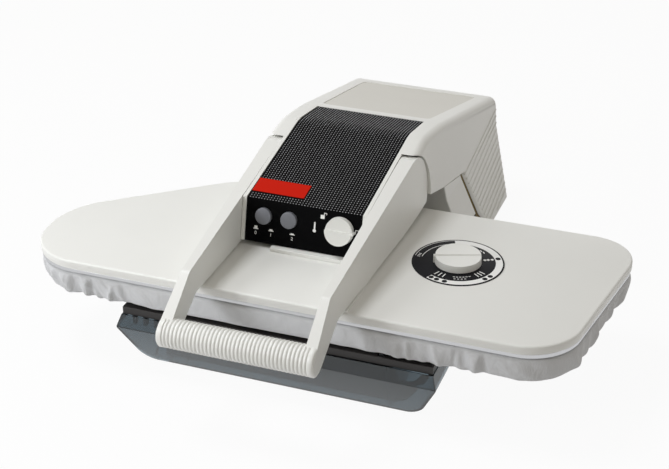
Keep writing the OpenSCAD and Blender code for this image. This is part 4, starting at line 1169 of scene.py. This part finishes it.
class IRONING_OT_tank(bpy.types.Operator):
    """Make the clear water tank with the walls, tabs and struts inside it, and a dark sheet of painted shade
    on its floor
    """

    bl_idname = "ironing.tank"
    bl_label = "Water tank"

    def execute(self, context):
        outer = tank_form(0, 66.2)
        ease(outer, 5, lambda e: max(v.co.z for v in e.verts) < 66, 4, 15)
        inner = tank_form(2.5, 72)
        ease(inner, 3, lambda e: max(v.co.z for v in e.verts) < 66, 4, 15)
        shell = combine(outer, inner)
        # Hole for the coupling
        shell = combine(shell, drum(5, -120, -100, FRONT @ at(0, 24), 40))
        piece(shell, "tank_shell_clear", TANK, "tank", "smoke", replaces=["tank_shell"], bevel=0.4)
        wall = [(18, 8), (-1, 52), (3, 64), (108, 64), (108, 8)]
        walls = [block(wall, x - 1.2, x + 1.2, SIDE) for x in (-128, 128)]
        piece(join(*walls), "tank_inner_walls", TANK, "tank", "smoke", bevel=0.2)
        # A dark sheet on the tank's floor: painted shade for the shadow under the machine, seen through the
        # clear floor
        floor_shade = [(-141, 25, 6), (131, 25, 5), (141, 31, 8), (158, 84, 5), (151, 87, 5)]
        floor_shade += [(135, 48, 9), (122, 62, 3), (122, 100, 3), (-126, 100, 3), (-141, 38, 6)]
        floor_shade = block(floor_shade, 7.8, 10)
        # Tabs under the lid, and slanting struts, at the tank's left end
        tabs = [block(rectangle(6, 52, 12, 65, 1), x, x + 4, SIDE) for x in range(-168, -100, 13)]
        struts = [block([(20, 8), (24, 8), (60, 62), (56, 62)], x, x + 2, SIDE) for x in (-150, -112)]
        # The tabs and struts are dark ABS; the floor sheet in the same finish is painted shade
        inserts_and_shade = join(floor_shade, *tabs, *struts)
        piece(inserts_and_shade, "tank_tabs_and_floor_shade", TANK, "tank", "insert", bevel=0.4)
        return {"FINISHED"}


# Finish of every node that keeps the model's own shape, by its record slot
KEPT = {
    "cream": "base_cover",
    "pale": "insulation_sheet thermal_fuse tank_filter",
    "charcoal": "base_tray base_deck water_pump tank_coupling mains_gland tank_lid tank_valve panel_switches"
    " heating_element steam_valve thermostat lift_switch",
    "smoke": "filler_cap",
    "steel": "tank_rails hinge_brackets hinge_shaft lift_springs base_screws head_beam plate_mount"
    " head_screws grip_core handle_shaft shaft_levers selector_spindle dial_spindle",
    "aluminium": "heat_plate steam_chamber",
    "brass": "hinge_bushes handle_bushes",
    "foot_rubber": "rubber_feet",
    "hose": "pump_hose steam_tube",
    "circuit_board": "control_board",
}


# Nodes whose edges are rounded by a width
EASED = {"base_cover": 1.4, "base_tray": 1.2, "heat_plate": 0.6, "tank_lid": 0.6, "head_beam": 0.4}


def paint(node, finish):
    """Gives a node of the model one finish."""
    node.data.materials.clear()
    node.data.materials.append(MATERIALS[finish])


class IRONING_OT_works(bpy.types.Operator):
    """Give the base and the inner parts their finishes and eased edges"""

    bl_idname = "ironing.works"
    bl_label = "Base and inner parts"

    def execute(self, context):
        for finish, names in KEPT.items():
            for name in names.split():
                paint(NODES[name], finish)
        for name, width in EASED.items():
            merge = NODES[name].modifiers.new("joined faces", "WELD")
            merge.merge_threshold = 0.01 * MM
            eased_edges(NODES[name], width, 35)
        # Nodes that a piece stands for aren't seen, but they keep a finish too
        for node in NODES.values():
            if node.hide_render:
                paint(node, "cream")
        return {"FINISHED"}


# The stage


# Lamps: name, place in metres, size in metres, watts
LAMPS = (
    ("above", (-0.95, -0.1, 2.15), 0.7, 22.5),
    ("left", (-1.0, -1.1, 0.75), 0.45, 9),
    ("right", (1.6, 0.3, 1.2), 1.2, 2.2),
)
AIM = Vector((0, 0, 0.1))
# Camera fitted to the photograph: 20 degrees to the side and 28.6 degrees down
CAMERA_AT = Vector((500.3, -1472, 929))
CAMERA_BACK = Vector((0.3003, -0.8251, 0.4787))
SENSOR = 36
LENS = 80.7


def white_where_seen(tree, plain, white, output, share):
    """Ends the nodes in the white one, by a share, on camera, glossy and transmitted rays."""
    path = add_node(tree, "LightPath").outputs
    seen = path["Is Camera Ray"]
    for kind in ("Is Glossy Ray", "Is Transmission Ray"):
        seen = add_node(tree, "Math", {0: seen, 1: path[kind]}, operation="MAXIMUM").outputs["Value"]
    seen = add_node(tree, "Math", {0: seen, 1: share}, operation="MULTIPLY").outputs["Value"]
    mix = add_node(tree, "MixShader", {0: seen, 1: plain.outputs[0], 2: white.outputs[0]})
    add_node(tree, output, {"Surface": mix.outputs["Shader"]})


class IRONING_OT_stage(bpy.types.Operator):
    """Make the pale floor, the soft lights and the camera"""

    bl_idname = "ironing.stage"
    bl_label = "Floor, lights and camera"

    def execute(self, context):
        scene = context.scene
        scene.view_settings.view_transform = "Standard"
        self.floor()
        self.sky(scene)
        for name, spot, size, power in LAMPS:
            lamp = bpy.data.lights.new(name, "AREA")
            lamp.size = size
            lamp.energy = power
            lamp.color = linear("F8FBFF")[:3]
            made = bpy.data.objects.new(name, lamp)
            made.location = spot
            made.rotation_euler = (AIM - Vector(spot)).to_track_quat("-Z", "Y").to_euler()
            scene.collection.objects.link(made)
        lens = bpy.data.cameras.new("camera")
        lens.sensor_width = SENSOR
        lens.lens = LENS
        lens.clip_end = 30
        camera = bpy.data.objects.new("camera", lens)
        camera.location = TO_ROW @ CAMERA_AT
        camera.rotation_euler = (-CAMERA_BACK).to_track_quat("-Z", "Y").to_euler()
        scene.collection.objects.link(camera)
        scene.camera = camera
        return {"FINISHED"}

    def floor(self):
        """A matt pale floor that looks white but keeps a share of its shadows."""
        bm = bmesh.new()
        bmesh.ops.create_grid(bm, x_segments=1, y_segments=1, size=4)
        made = as_object(bm, "floor")
        surface = bpy.data.materials.new("pale floor paint")
        tree = empty_tree(surface)
        matt = add_node(tree, "BsdfDiffuse", {"Color": linear("E6E6E6")})
        white = add_node(tree, "Emission", {"Color": (1, 1, 1, 1), "Strength": 1.0})
        white_where_seen(tree, matt, white, "OutputMaterial", 0.94)
        made.data.materials.append(surface)

    def sky(self, scene):
        """A warm, weak light all round that the camera sees as white."""
        world = bpy.data.worlds.new("studio")
        tree = empty_tree(world)
        soft = add_node(tree, "Background", {"Color": linear("FFF7EA"), "Strength": 0.30})
        white = add_node(tree, "Background", {"Color": (1, 1, 1, 1), "Strength": 1.0})
        white_where_seen(tree, soft, white, "OutputWorld", 1)
        scene.world = world


STEPS = (
    IRONING_OT_stage,
    IRONING_OT_board,
    IRONING_OT_plate,
    IRONING_OT_housing,
    IRONING_OT_front,
    IRONING_OT_controls,
    IRONING_OT_handle,
    IRONING_OT_tank,
    IRONING_OT_works,
)


class IRONING_PT_steps(bpy.types.Panel):
    """Steps that build the ironing station"""

    bl_idname = "IRONING_PT_steps"
    bl_label = "Steam ironing station"
    bl_space_type = "VIEW_3D"
    bl_region_type = "UI"
    bl_category = "Ironing"

    def draw(self, context):
        for group in (context.scene.press_colours, context.scene.press_sizes):
            for name in group.bl_rna.properties.keys():
                if name not in ("rna_type", "name"):
                    self.layout.prop(group, name)
        for step in STEPS:
            self.layout.operator(step.bl_idname)


CLASSES = (PressColours, PressSizes, *STEPS, IRONING_PT_steps)


def register():
    for item in CLASSES:
        bpy.utils.register_class(item)
    bpy.types.Scene.press_colours = bpy.props.PointerProperty(type=PressColours)
    bpy.types.Scene.press_sizes = bpy.props.PointerProperty(type=PressSizes)


def unregister():
    del bpy.types.Scene.press_colours
    del bpy.types.Scene.press_sizes
    for item in reversed(CLASSES):
        bpy.utils.unregister_class(item)


def main():
    register()
    MATERIALS.update(make_materials(bpy.context.scene.press_colours))
    for step in STEPS:
        group, name = step.bl_idname.split(".")
        getattr(getattr(bpy.ops, group), name)()


if __name__ == "__main__":
    main()
